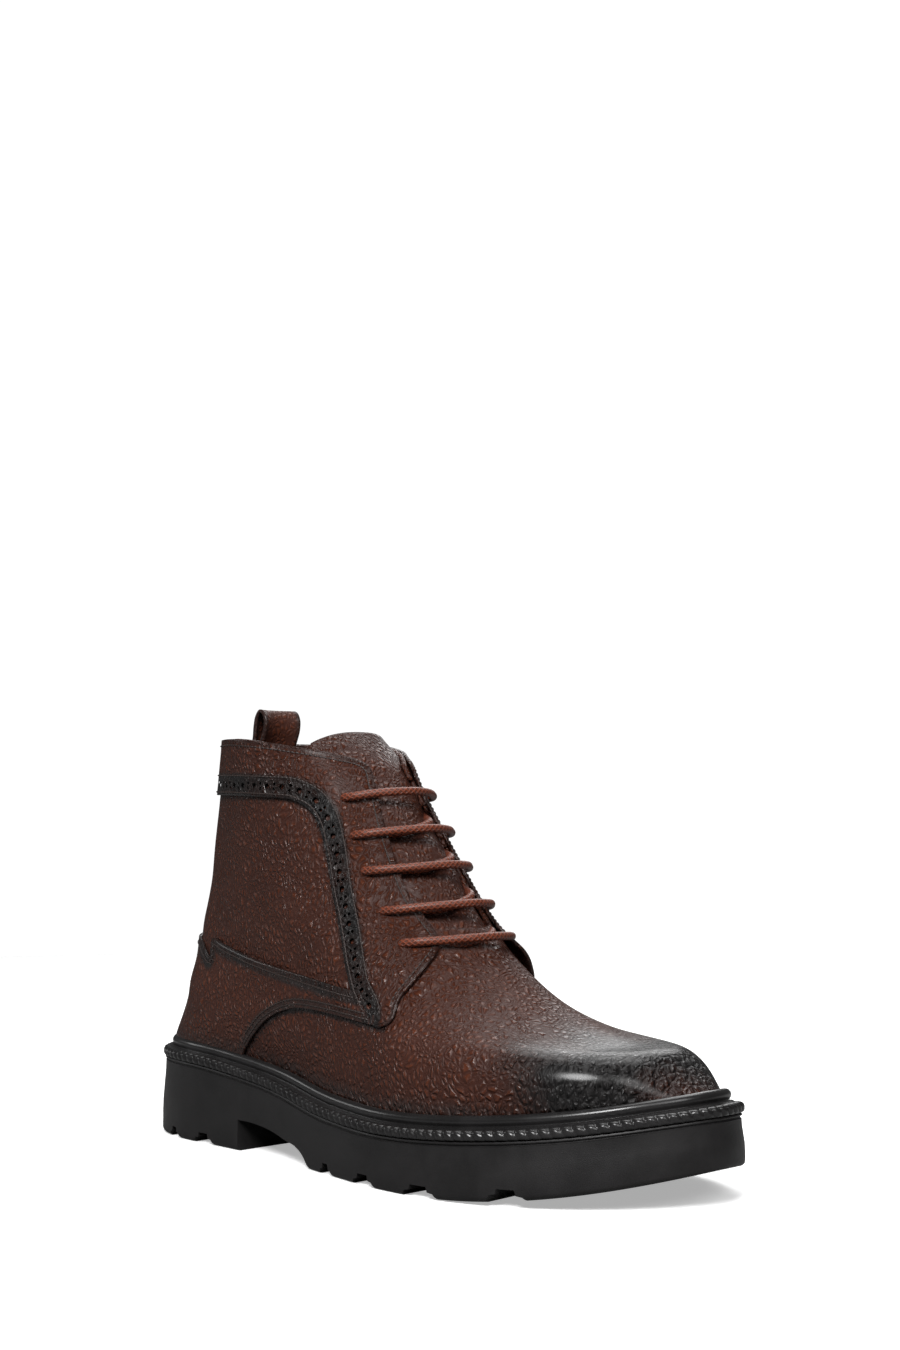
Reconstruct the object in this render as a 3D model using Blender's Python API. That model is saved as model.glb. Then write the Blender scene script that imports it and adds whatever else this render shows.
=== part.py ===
"""Casual lace-up ankle boot, right foot, standing empty on its sole.

Metres, +Z up, toe to +X, outer side of the foot to -Y, origin on the floor under the
middle of the outsole.  Every form follows from the sizes of the last named here.
"""
import bpy
import bmesh
import numpy as np

# Sizes of the last and of the outsole
SOLE_LENGTH = 0.3050
BALL_WIDTH = 0.1115
HEEL_TOP = 0.0345
BALL_TOP = 0.0205
TOE_SPRING = 0.0125
TOE_SWING = 0.0075
CENTRE_SHIFT = 0.0007
SPRING_START = 0.66
UPPER_LENGTH = 0.2905
COLLAR_HEIGHT = 0.1770

# Outsole
SIDE_FLARE = 0.0012
SIDE_STEP = 0.0007
EDGE_ROUND = 0.0016
ARCH_BREAST = -0.0698
ARCH_HEIGHT = 0.0132
NOTCH_HEIGHT = 0.0046
NOTCH_DEPTH = 0.0240
NOTCH_DRAFT = 0.0012
CENTRE_GROOVE = 0.0060
GROOVE_DEPTH = 0.0034

# Welt, with its rim and its bead
RAND_HEIGHT = 0.0085
WELT_HEEL = 0.0068
WELT_TOE = 0.0085
RIM_HEIGHT = 0.0040
BEAD_INSET = 0.0032

# Leather and fits
LEATHER = 0.0020
OVERLAY = 0.0014
TONGUE_LEATHER = 0.0022
INSOLE_THICK = 0.0030
FIT = 0.0003
OVERLAY_FIT = 0.0004

# Throat, tongue, laces and loop
THROAT_MARGIN = 0.0008
THROAT_FLOOR = 0.0965
TONGUE_HALF = 0.0340
TONGUE_TOP = 0.1800
TONGUE_CROWN = 0.030
TONGUE_LEAN = 0.20
EYELET_RADIUS = 0.0022
LACE_RADIUS = 0.0016
LACE_CLEAR = 0.0004
LOOP_WIDTH = 0.0200
LOOP_HEIGHT = 0.0180
LOOP_DEPTH = 0.0110
LOOP_LEAN = 0.16
LOOP_LEATHER = 0.0016
LOOP_TAIL = 0.0160

# Level of the upper's skin where the foxing clears the bead
FOXING_FOOT = 0.014

# Mesh density
RING = 56
RISE = 12

# Outline of the sole: share of its length, outer and inner half width as shares of the ball width
PLAN = (
    (0.000, 0.000, 0.000),
    (0.015, 0.160, 0.160),
    (0.050, 0.272, 0.275),
    (0.120, 0.345, 0.345),
    (0.220, 0.360, 0.355),
    (0.360, 0.382, 0.343),
    (0.500, 0.460, 0.395),
    (0.620, 0.515, 0.460),
    (0.740, 0.507, 0.485),
    (0.840, 0.432, 0.453),
    (0.920, 0.315, 0.358),
    (0.970, 0.190, 0.232),
    (1.000, 0.000, 0.000),
)

# Fall of the sole's top edge from heel to ball, and its lift to the toe
TOP_FALL = (
    (0.00, 1.00), (0.18, 0.93), (0.33, 0.62), (0.46, 0.20),
    (0.60, 0.00), (0.75, 0.03), (0.88, 0.00), (1.00, 0.00),
)
TOE_LIFT = ((0.00, 0.00), (0.60, 0.00), (0.75, 0.12), (0.88, 0.48), (1.00, 1.00))

# Sections of the upper from the second level up.  Back and front points as shares of the
# upper's length and of the collar height, then half widths as shares of the ball width
STATIONS = (0.0, 25.0, 50.0, 80.0, 110.0, 135.0, 157.0, 180.0)
SECTIONS = (
    # back x, back z, front x, front z, half width at 25, 50, 80, 110, 135 and 157 degrees
    (-0.4673, 0.335, 0.4639, 0.2668, 0.2256, 0.3066, 0.3456, 0.4335, 0.3975, 0.2605),
    (-0.4663, 0.390, 0.4339, 0.3114, 0.2102, 0.2976, 0.3460, 0.4085, 0.3580, 0.2250),
    (-0.4613, 0.455, 0.3749, 0.3108, 0.1867, 0.2838, 0.3410, 0.3825, 0.3240, 0.1850),
    (-0.4576, 0.530, 0.2766, 0.3541, 0.1689, 0.2678, 0.3322, 0.3615, 0.2980, 0.1640),
    (-0.4423, 0.615, 0.1895, 0.4427, 0.1606, 0.2533, 0.3270, 0.3397, 0.2745, 0.1474),
    (-0.4244, 0.705, 0.1167, 0.5573, 0.1652, 0.2511, 0.3244, 0.3141, 0.2404, 0.1290),
    (-0.4058, 0.800, 0.0567, 0.6936, 0.1750, 0.2586, 0.3195, 0.2958, 0.2165, 0.1161),
    (-0.3806, 0.900, -0.0058, 0.8276, 0.1890, 0.2749, 0.3247, 0.2879, 0.2005, 0.1086),
    (-0.3591, 1.000, -0.0595, 0.9626, 0.2029, 0.2916, 0.3351, 0.2818, 0.1848, 0.1010),
)
SAG_REACH = 4.5
LEAN_REACH = 0.87

# Rise and fall of the collar edge from back to front, as shares of the collar height
COLLAR_LINE = ((0.0, 0.0), (0.3, 0.0124), (0.6, 0.0068), (0.85, -0.0124), (1.0, -0.0311))

# Half gap between the two facings at heights above the floor
THROAT = (
    (0.0800, 0.0185), (0.0950, 0.0183), (0.1110, 0.0190), (0.1240, 0.0178),
    (0.1360, 0.0162), (0.1470, 0.0138), (0.1560, 0.0122), (0.2100, 0.0112),
)

# Side outlines of the overlays, x and z
FACING_OUTLINE = (
    (0.0600, 0.2200), (0.0600, 0.0905), (0.0352, 0.0900), (0.0348, 0.0830), (0.0332, 0.0754),
    (0.0307, 0.0686), (0.0272, 0.0600), (0.0238, 0.0592), (0.0172, 0.0614), (0.0085, 0.0722),
    (0.0000, 0.0842), (-0.0075, 0.0968), (-0.0138, 0.1092), (-0.0205, 0.1240),
    (-0.0264, 0.1368), (-0.0300, 0.1430), (-0.0344, 0.1472), (-0.0395, 0.1498),
    (-0.0459, 0.1508), (-0.0663, 0.1515), (-0.1002, 0.1528), (-0.1400, 0.1538),
    (-0.1400, 0.2200),
)
FOXING_OUTLINE = (
    (-0.1600, 0.0300), (-0.0745, 0.0300), (-0.0737, 0.0396), (-0.0713, 0.0427),
    (-0.0639, 0.0495), (-0.0538, 0.0560), (-0.0418, 0.0612), (-0.0270, 0.0634),
    (-0.0049, 0.0631), (0.0120, 0.0615), (0.0040, 0.0720), (-0.0011, 0.0736),
    (-0.0321, 0.0775), (-0.0577, 0.0806), (-0.0916, 0.0865), (-0.1055, 0.0905),
    (-0.1250, 0.0850), (-0.1600, 0.0740),
)
ARCH_LINE = ((0.00, 1.00), (0.18, 0.985), (0.42, 0.87), (0.64, 0.68), (0.80, 0.57), (0.90, 0.38), (1.00, 0.00))
ARCH_LENGTH = 0.0558

# Side notches between the lugs: start and end along the sole
NOTCHES = (
    (-0.1216, -0.1153),
    (-0.1004, -0.0899),
    (-0.0043, 0.0021),
    (0.0208, 0.0316),
    (0.0513, 0.0648),
    (0.0895, 0.1008),
)

# Rows of eyelets: level and turn on the outer side
EYELETS = (
    (0.605, 136.0),
    (0.672, 133.5),
    (0.749, 130.5),
    (0.822, 130.8),
    (0.903, 132.5),
)


# Curves
def curve(points, x):
    """Smooth interpolation through the rows of a two column table."""
    table = np.asarray(points, float)
    xs = table[:, 0]
    ys = table[:, 1]
    x = np.asarray(x, float)
    step = np.diff(xs)
    slope = np.diff(ys) / step
    tangent = np.empty(len(xs))
    tangent[0] = slope[0]
    tangent[-1] = slope[-1]
    tangent[1:-1] = (slope[:-1] * step[1:] + slope[1:] * step[:-1]) / (step[:-1] + step[1:])
    i = np.clip(np.searchsorted(xs, x, side="right") - 1, 0, len(xs) - 2)
    t = (x - xs[i]) / step[i]
    part = (2 * t**3 - 3 * t**2 + 1) * ys[i] + (-2 * t**3 + 3 * t**2) * ys[i + 1]
    return part + step[i] * ((t**3 - 2 * t**2 + t) * tangent[i] + (t**3 - t**2) * tangent[i + 1])


def mirrored(angles, values, x):
    """Curve over half a turn that starts and ends at nought and runs on round the ends."""
    angles = np.asarray(angles, float)
    values = np.asarray(values, float)
    a = np.concatenate([[-angles[1]], angles, [2 * np.pi - angles[-2]]])
    v = np.concatenate([[-values[1]], values, [-values[-2]]])
    return curve(np.column_stack([a, v]), x)


# Sole outline
def plan_half(share, column):
    table = np.asarray(PLAN)
    angles = np.arccos(1 - 2 * table[:, 0])
    turn = np.arccos(np.clip(1 - 2 * np.asarray(share), -1, 1))
    return mirrored(angles, table[:, column] * BALL_WIDTH, turn)


def swing(share):
    return CENTRE_SHIFT + TOE_SWING * np.clip((np.asarray(share) - 0.5) / 0.5, 0, 1) ** 2


def plan_loop(count, inset=0.0):
    """Outline of the sole from the heel along the outer side to the toe and back, set in."""
    turn = np.linspace(0, 2 * np.pi, count, endpoint=False)
    share = (1 - np.cos(turn)) / 2
    outer = -plan_half(share, 1)
    inner = plan_half(share, 2)
    y = np.where(np.sin(turn) >= 0, outer, inner) + swing(share)
    loop = np.column_stack([(share - 0.5) * SOLE_LENGTH, y])
    along = np.roll(loop, -1, 0) - np.roll(loop, 1, 0)
    along /= np.linalg.norm(along, axis=1)[:, None]
    inward = np.column_stack([-along[:, 1], along[:, 0]])
    return loop + inward * np.reshape(inset, (-1, 1)), share


def pulled(loop, pull):
    """Loop drawn in towards the middle line of the sole; at nought it closes on that line."""
    mirror = np.roll(loop[::-1], 1, axis=0)
    even = (loop[:, 0] + mirror[:, 0]) / 2
    x = (loop[:, 0] * pull + even * (1 - pull)) * (0.90 + 0.10 * pull)
    y = midline(x) + (loop[:, 1] - midline(loop[:, 0])) * pull
    return np.column_stack([x, y])


def top_edge(share):
    """Height of the sidewall's top edge."""
    fall = curve(TOP_FALL, share)
    lift = curve(TOE_LIFT, share)
    return BALL_TOP + (HEEL_TOP - BALL_TOP) * fall + TOE_SPRING * lift


def underside(share):
    """Height of the underside, flat on the floor up to the toe spring."""
    s = np.clip((np.asarray(share) - SPRING_START) / (1 - SPRING_START), 0, 1)
    return (TOE_SPRING + 0.0015) * s**2.2


def welt_width(share):
    return WELT_HEEL + (WELT_TOE - WELT_HEEL) * share


# Upper
def feather(turn):
    """Line where the upper meets the bead."""
    fine = 360
    _, share = plan_loop(fine)
    loop, _ = plan_loop(fine, welt_width(share))
    loop = np.vstack([loop, loop[:1]])
    turns = np.linspace(0, 2 * np.pi, fine + 1)
    x = np.interp(turn % (2 * np.pi), turns, loop[:, 0])
    y = np.interp(turn % (2 * np.pi), turns, loop[:, 1])
    return x, y, top_edge(x / SOLE_LENGTH + 0.5) + RAND_HEIGHT


def midline(x):
    share = np.clip(x / SOLE_LENGTH + 0.5, 0, 1)
    return (plan_half(share, 2) - plan_half(share, 1)) / 2 + swing(share)


def upper_skin(level, turn):
    """Outer surface of the upper: level 0 at the bead, 1 at the collar; turn 0 at the heel."""
    level, turn = np.broadcast_arrays(np.asarray(level, float), np.asarray(turn, float))
    rows = np.asarray(SECTIONS)
    knots = np.arange(len(rows) + 1)
    q = level * len(rows)
    ends = feather(np.array([0.0, np.pi]))
    back_x = np.concatenate([[ends[0][0]], rows[:, 0] * UPPER_LENGTH])
    back_z = np.concatenate([[ends[2][0]], rows[:, 1] * COLLAR_HEIGHT])
    front_x = np.concatenate([[ends[0][1]], rows[:, 2] * UPPER_LENGTH])
    front_z = np.concatenate([[ends[2][1]], rows[:, 3] * COLLAR_HEIGHT])
    bx = curve(np.column_stack([knots, back_x]), q)
    bz = curve(np.column_stack([knots, back_z]), q)
    fx = curve(np.column_stack([knots, front_x]), q)
    fz = curve(np.column_stack([knots, front_z]), q)
    half_turn = np.where(turn <= np.pi, turn, 2 * np.pi - turn)
    t = (1 - np.cos(half_turn)) / 2
    x0, y0, z0 = feather(turn)
    fade = np.clip(1 - q / SAG_REACH, 0, 1) ** 1.6
    x = bx + (fx - bx) * t
    z = bz + (fz - bz) * t
    x = x + (x0 - (back_x[0] + (front_x[0] - back_x[0]) * t)) * fade
    z = z + (z0 - (back_z[0] + (front_z[0] - back_z[0]) * t)) * fade
    collar = curve(COLLAR_LINE, t) * COLLAR_HEIGHT
    z = z + collar * np.clip((q - 6) / 3, 0, 1) ** 1.5
    angles = np.radians(STATIONS)
    widths = [np.abs(y0 - midline(x0))]
    for row in rows:
        values = np.concatenate([[0], row[4:], [0]]) * BALL_WIDTH
        widths.append(mirrored(angles, values, half_turn))
    widths = np.stack(widths)
    slope = np.empty_like(widths)
    steps = np.diff(widths, axis=0)
    slope[0] = steps[0]
    slope[-1] = steps[-1]
    slope[1:-1] = (steps[:-1] + steps[1:]) / 2
    i = np.clip(np.floor(q).astype(int), 0, len(rows) - 1)
    u = q - i
    w0 = np.take_along_axis(widths, i[None], 0)[0]
    w1 = np.take_along_axis(widths, i[None] + 1, 0)[0]
    s0 = np.take_along_axis(slope, i[None], 0)[0]
    s1 = np.take_along_axis(slope, i[None] + 1, 0)[0]
    half = (2 * u**3 - 3 * u**2 + 1) * w0 + (-2 * u**3 + 3 * u**2) * w1
    half = half + (u**3 - 2 * u**2 + u) * s0 + (u**3 - u**2) * s1
    lean = np.clip(1 - level / LEAN_REACH, 0, 1)
    side = np.where(turn <= np.pi, -1.0, 1.0)
    return np.stack([x, midline(x) * lean + side * half, z], -1)


def skin_normal(level, turn):
    """Outward normal of the upper's skin."""
    h = 0.004
    lo = np.clip(np.asarray(level, float) - h, 0, 1)
    hi = np.clip(np.asarray(level, float) + h, 0, 1)
    up = upper_skin(hi, turn) - upper_skin(lo, turn)
    full = 2 * np.pi
    round_ = upper_skin(level, (turn + h) % full) - upper_skin(level, (turn - h) % full)
    normal = np.cross(round_, up)
    return normal / np.linalg.norm(normal, axis=-1)[..., None]


def offset_skin(level, turn, distance):
    return upper_skin(level, turn) + skin_normal(level, turn) * distance


# Scene
def clear_scene():
    for item in list(bpy.data.objects):
        bpy.data.objects.remove(item, do_unlink=True)
    for group in list(bpy.data.collections):
        bpy.data.collections.remove(group)


def collection(name):
    group = bpy.data.collections.new(name)
    bpy.context.scene.collection.children.link(group)
    return group


def material(name, colour, roughness):
    made = bpy.data.materials.new(name)
    made.use_nodes = True
    shader = made.node_tree.nodes["Principled BSDF"]
    shader.inputs["Base Color"].default_value = (*colour, 1.0)
    shader.inputs["Roughness"].default_value = roughness
    made.diffuse_color = (*colour, 1.0)
    return made


def mesh_object(name, verts, faces, group, look=None):
    data = bpy.data.meshes.new(name)
    data.from_pydata([tuple(map(float, v)) for v in verts], [], [tuple(f) for f in faces])
    data.validate()
    item = bpy.data.objects.new(name, data)
    group.objects.link(item)
    work = bmesh.new()
    work.from_mesh(data)
    bmesh.ops.remove_doubles(work, verts=work.verts, dist=0.00002)
    bmesh.ops.dissolve_degenerate(work, edges=work.edges, dist=0.00002)
    bmesh.ops.recalc_face_normals(work, faces=work.faces)
    work.to_mesh(data)
    work.free()
    if look is not None:
        data.materials.append(look)
    return item


def as_cutter(item):
    item.hide_render = True
    item.display_type = "WIRE"
    return item


def stack_faces(rings, count, closed=False):
    """Quads between rings of equal count."""
    faces = []
    last = rings if closed else rings - 1
    for r in range(last):
        for i in range(count):
            j = (i + 1) % count
            n = (r + 1) % rings
            faces.append((r * count + i, r * count + j, n * count + j, n * count + i))
    return faces


def apply(item, modifier):
    for other in bpy.context.selected_objects:
        other.select_set(False)
    bpy.context.view_layer.objects.active = item
    item.select_set(True)
    bpy.ops.object.modifier_apply(modifier=modifier.name)


def boolean(item, cutter, operation):
    cut = item.modifiers.new(operation.lower(), "BOOLEAN")
    cut.operation = operation
    cut.solver = "EXACT"
    cut.object = cutter
    apply(item, cut)


def tidy(item, merge=0.00005):
    work = bmesh.new()
    work.from_mesh(item.data)
    bmesh.ops.remove_doubles(work, verts=work.verts, dist=merge)
    bmesh.ops.dissolve_degenerate(work, edges=work.edges, dist=merge)
    work.to_mesh(item.data)
    work.free()


def prism(name, outline, low, high, axis, group):
    """Solid of a closed outline swept along one axis."""
    verts = []
    for end in (low, high):
        for a, b in outline:
            verts.append((a, end, b) if axis == "Y" else (end, a, b))
    n = len(outline)
    faces = [tuple(range(n)), tuple(range(2 * n - 1, n - 1, -1))]
    faces += [(i, (i + 1) % n, n + (i + 1) % n, n + i) for i in range(n)]
    return as_cutter(mesh_object(name, verts, faces, group))


# Outsole
def outsole_solid(group, cutters, look):
    plain, share = plan_loop(RING)
    top = top_edge(share)
    low = underside(share)

    def ring(inset, z, pull=1.0):
        loop, _ = plan_loop(RING, inset)
        return np.column_stack([pulled(loop, pull), z])

    rings = [ring(EDGE_ROUND, low, pull) for pull in (0.0, 0.35, 0.70, 1.0)]
    rings.append(ring(EDGE_ROUND * 0.3, low + EDGE_ROUND * 0.35))
    rings.append(ring(0.0, low + EDGE_ROUND))
    rings.append(ring(0.0, low + (top - low) * 0.40))
    rings.append(ring(SIDE_FLARE, top - SIDE_STEP))
    rings.append(ring(SIDE_FLARE + SIDE_STEP, top))
    rings += [ring(SIDE_FLARE + SIDE_STEP, top, pull) for pull in (0.70, 0.35, 0.0)]
    item = mesh_object("outsole", np.vstack(rings), stack_faces(len(rings), RING), group, look)
    arch = [(ARCH_BREAST, -0.01)]
    for share_x, share_z in ARCH_LINE:
        arch.append((ARCH_BREAST + share_x * ARCH_LENGTH, share_z * ARCH_HEIGHT))
    arch.append((ARCH_BREAST + ARCH_LENGTH + 0.0005, -0.01))
    boolean(item, prism("arch_cutter", arch, -0.08, 0.08, "Y", cutters), "DIFFERENCE")
    for number, (start, end) in enumerate(NOTCHES):
        z = float(underside(((start + end) / 2) / SOLE_LENGTH + 0.5)) + NOTCH_HEIGHT
        shape = (
            (start - NOTCH_DRAFT, -0.01),
            (end + NOTCH_DRAFT, -0.01),
            (end, z),
            (start, z),
        )
        width = BALL_WIDTH
        for side in (-1, 1):
            edge = float(plan_half((start + end) / 2 / SOLE_LENGTH + 0.5, 1 if side < 0 else 2))
            centre = float(swing((start + end) / 2 / SOLE_LENGTH + 0.5))
            inner = centre + side * (edge - NOTCH_DEPTH)
            outer = centre + side * width
            bounds = sorted((inner, outer))
            name = "notch_cutter_%d_%s" % (number, "outer" if side < 0 else "inner")
            boolean(item, prism(name, shape, bounds[0], bounds[1], "Y", cutters), "DIFFERENCE")
    for name, start, end in (("heel", -0.134, -0.080), ("front", 0.004, 0.118)):
        verts = []
        for x in (start, end):
            y = float(midline(x))
            z = float(underside(x / SOLE_LENGTH + 0.5)) + GROOVE_DEPTH
            half = CENTRE_GROOVE / 2
            verts += [(x, y - half, -0.01), (x, y + half, -0.01), (x, y + half, z), (x, y - half, z)]
        faces = [(0, 1, 2, 3), (7, 6, 5, 4), (0, 4, 5, 1), (1, 5, 6, 2), (2, 6, 7, 3), (3, 7, 4, 0)]
        groove = as_cutter(mesh_object("groove_cutter_" + name, verts, faces, cutters))
        boolean(item, groove, "DIFFERENCE")
    tidy(item)
    return item


# Welt
def welt_solid(group, look):
    plain, share = plan_loop(RING)
    top = top_edge(share)
    inner = welt_width(share) - FIT
    profile = (
        (0.0006, FIT), (0.0, 0.0012), (0.0, RIM_HEIGHT - 0.0006), (0.0008, RIM_HEIGHT),
        (BEAD_INSET, RIM_HEIGHT + 0.0002), (BEAD_INSET - 0.0005, RIM_HEIGHT + 0.0016),
        (BEAD_INSET - 0.0003, RIM_HEIGHT + 0.0034), (BEAD_INSET + 0.0008, RIM_HEIGHT + 0.0049),
    )
    rings = []
    for inset, height in profile:
        loop, _ = plan_loop(RING, inset)
        rings.append(np.column_stack([loop, top + height]))
    for back, height in ((0.0008, RAND_HEIGHT + 0.0004), (0.0, RAND_HEIGHT - 0.0004), (0.0, FIT)):
        loop, _ = plan_loop(RING, inner - back)
        rings.append(np.column_stack([loop, top + height]))
    return mesh_object("welt", np.vstack(rings), stack_faces(len(rings), RING, True), group, look)


# Insole
def insole_solid(group, look):
    plain, share = plan_loop(RING)
    base = top_edge(share) + FIT
    inset = welt_width(share) + LEATHER + 0.0006
    loop, _ = plan_loop(RING, inset)
    rings = []
    for pull, height in ((0.0, 0), (1.0, 0), (1.0, 1), (0.0, 1)):
        rings.append(np.column_stack([pulled(loop, pull), base + height * INSOLE_THICK]))
    return mesh_object("insole", np.vstack(rings), stack_faces(len(rings), RING), group, look)


# Shells that follow the upper's skin
def skin_shell(name, levels, near, far, foot, group, look=None):
    """Closed shell between two distances from the skin; foot carries it down inside the welt."""
    turn = np.linspace(0, 2 * np.pi, RING, endpoint=False)
    outer = []
    inner = []
    if foot:
        loop, share = plan_loop(RING)
        width = welt_width(share)
        base = top_edge(share) + FIT
        for distance, side in ((far, outer), (near, inner)):
            walls, _ = plan_loop(RING, width - distance)
            side.append(np.column_stack([walls, base]))
    for level in levels:
        outer.append(offset_skin(np.full(RING, level), turn, far))
        inner.append(offset_skin(np.full(RING, level), turn, near))
    rings = outer + inner[::-1]
    return mesh_object(name, np.vstack(rings), stack_faces(len(rings), RING, True), group, look)


def slot_cutter(name, margin, floor, group):
    """Gap between the facings, as a prism along the boot."""
    heights = [row[0] for row in THROAT if row[0] > floor + 0.006] + [0.215]
    left = []
    right = []
    for z in heights:
        half = float(curve(THROAT, min(z, 0.21))) + margin
        left.append((-half, z))
        right.append((half, z))
    wide = float(curve(THROAT, floor)) + margin
    foot = [(wide, floor + 0.006), (wide * 0.86, floor + 0.0022), (wide * 0.55, floor)]
    mirror = [(-y, z) for y, z in reversed(foot)]
    outline = right[::-1] + foot + mirror + left
    return prism(name, outline, -0.055, 0.09, "X", group)


def levels_between(low, high):
    """Rows of the upper's mesh that lie between two levels, so that shells nest."""
    rows = np.concatenate([[0.0, FOXING_FOOT, 0.05], np.linspace(0.10, 1.0, RISE - 2)])
    return rows[(rows >= low) & (rows <= high)]


# Upper
def upper_solid(group, cutters, look):
    item = skin_shell("upper", levels_between(0.0, 1.0), -LEATHER, 0.0, True, group, look)
    cutter = slot_cutter("throat_cutter", THROAT_MARGIN, THROAT_FLOOR, cutters)
    boolean(item, cutter, "DIFFERENCE")
    tidy(item)
    return item


def collar_facing_solid(group, cutters, look):
    rows = levels_between(0.15, 1.0)
    item = skin_shell("collar_facing", rows, OVERLAY_FIT, OVERLAY_FIT + OVERLAY, False, group, look)
    side = prism("facing_cutter", FACING_OUTLINE, -0.09, 0.09, "Y", cutters)
    boolean(item, side, "INTERSECT")
    cutter = slot_cutter("facing_slot_cutter", 0.0, 0.078, cutters)
    boolean(item, cutter, "DIFFERENCE")
    tidy(item)
    return item


def heel_foxing_solid(group, cutters, look):
    rows = levels_between(FOXING_FOOT, 0.60)
    item = skin_shell("heel_foxing", rows, OVERLAY_FIT, OVERLAY_FIT + OVERLAY, False, group, look)
    side = prism("foxing_cutter", FOXING_OUTLINE, -0.09, 0.09, "Y", cutters)
    boolean(item, side, "INTERSECT")
    tidy(item)
    return item


# Tongue
def tongue_solid(group, cutters, look):
    """Leather under the facings, carried on above the collar."""
    rows = 9
    across = 11
    near = -LEATHER - FIT
    far = near - TONGUE_LEATHER
    level = np.linspace(0.56, 1.0, rows)
    spread = np.linspace(-1, 1, across)
    grids = []
    for distance in (near, far):
        grid = []
        for lv in level:
            half = TONGUE_HALF * (0.80 + 0.20 * np.clip((lv - 0.56) / 0.3, 0, 1))
            fan = np.linspace(np.pi * 0.45, np.pi * 1.55, 241)
            line = offset_skin(np.full(241, lv), fan, distance)
            run = np.concatenate([[0], np.cumsum(np.linalg.norm(np.diff(line, axis=0), axis=1))])
            run -= run[120]
            grid.append(np.column_stack([np.interp(spread * half, run, line[:, k]) for k in range(3)]))
        grid = np.array(grid)
        lift = grid[-1][across // 2] - grid[-3][across // 2]
        lift /= np.linalg.norm(lift)
        lift[0] -= TONGUE_LEAN
        lift /= lift[2]
        crown = TONGUE_TOP * (1 - TONGUE_CROWN * np.abs(spread) ** 2.2)
        extra = []
        for rise in (0.34, 0.67, 0.88, 1.0):
            row = grid[-1] + lift * ((crown - grid[-1][:, 2]) * rise)[:, None]
            row[:, 1] *= 1 - 0.08 * rise**2
            extra.append(row)
        grids.append(np.concatenate([grid, np.array(extra)]))
    outer, inner = grids
    n = outer.shape[0]
    verts = np.concatenate([outer.reshape(-1, 3), inner.reshape(-1, 3)])
    half = n * across
    faces = []
    for r in range(n - 1):
        for c in range(across - 1):
            a = r * across + c
            quad = (a, a + 1, a + across + 1, a + across)
            faces.append(quad)
            faces.append(tuple(half + k for k in reversed(quad)))
    rim = [(0, c) for c in range(across)] + [(r, across - 1) for r in range(1, n)]
    rim += [(n - 1, c) for c in range(across - 2, -1, -1)] + [(r, 0) for r in range(n - 2, 0, -1)]
    for k in range(len(rim)):
        a = rim[k][0] * across + rim[k][1]
        b = rim[(k + 1) % len(rim)][0] * across + rim[(k + 1) % len(rim)][1]
        faces.append((b, a, half + a, half + b))
    return mesh_object("tongue", verts, faces, group, look)


# Laces
def tube(name, points, radius, group, look=None):
    """Round cord through the points, capped."""
    path = bpy.data.curves.new(name + "_path", "CURVE")
    path.dimensions = "3D"
    path.bevel_depth = radius
    path.bevel_resolution = 2
    path.use_fill_caps = True
    spline = path.splines.new("POLY")
    spline.points.add(len(points) - 1)
    for point, place in zip(spline.points, points):
        point.co = (float(place[0]), float(place[1]), float(place[2]), 1.0)
    holder = bpy.data.objects.new(name + "_path", path)
    group.objects.link(holder)
    bpy.context.view_layer.update()
    graph = bpy.context.evaluated_depsgraph_get()
    data = bpy.data.meshes.new_from_object(holder.evaluated_get(graph))
    bpy.data.objects.remove(holder, do_unlink=True)
    work = bmesh.new()
    work.from_mesh(data)
    bmesh.ops.remove_doubles(work, verts=work.verts, dist=0.00002)
    bmesh.ops.recalc_face_normals(work, faces=work.faces)
    work.to_mesh(data)
    work.free()
    data.name = name
    item = bpy.data.objects.new(name, data)
    group.objects.link(item)
    if look is not None:
        data.materials.append(look)
    return item


def smooth_path(points, steps):
    points = np.asarray(points, float)
    knots = np.concatenate([[0], np.cumsum(np.linalg.norm(np.diff(points, axis=0), axis=1))])
    at = np.linspace(0, knots[-1], steps)
    return np.column_stack([curve(np.column_stack([knots, points[:, k]]), at) for k in range(3)])


def eyelet(row, side, distance):
    level, turn = EYELETS[row]
    turn = np.radians(turn)
    if side > 0:
        turn = 2 * np.pi - turn
    return offset_skin(np.array([level]), np.array([turn]), distance)[0]


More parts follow.
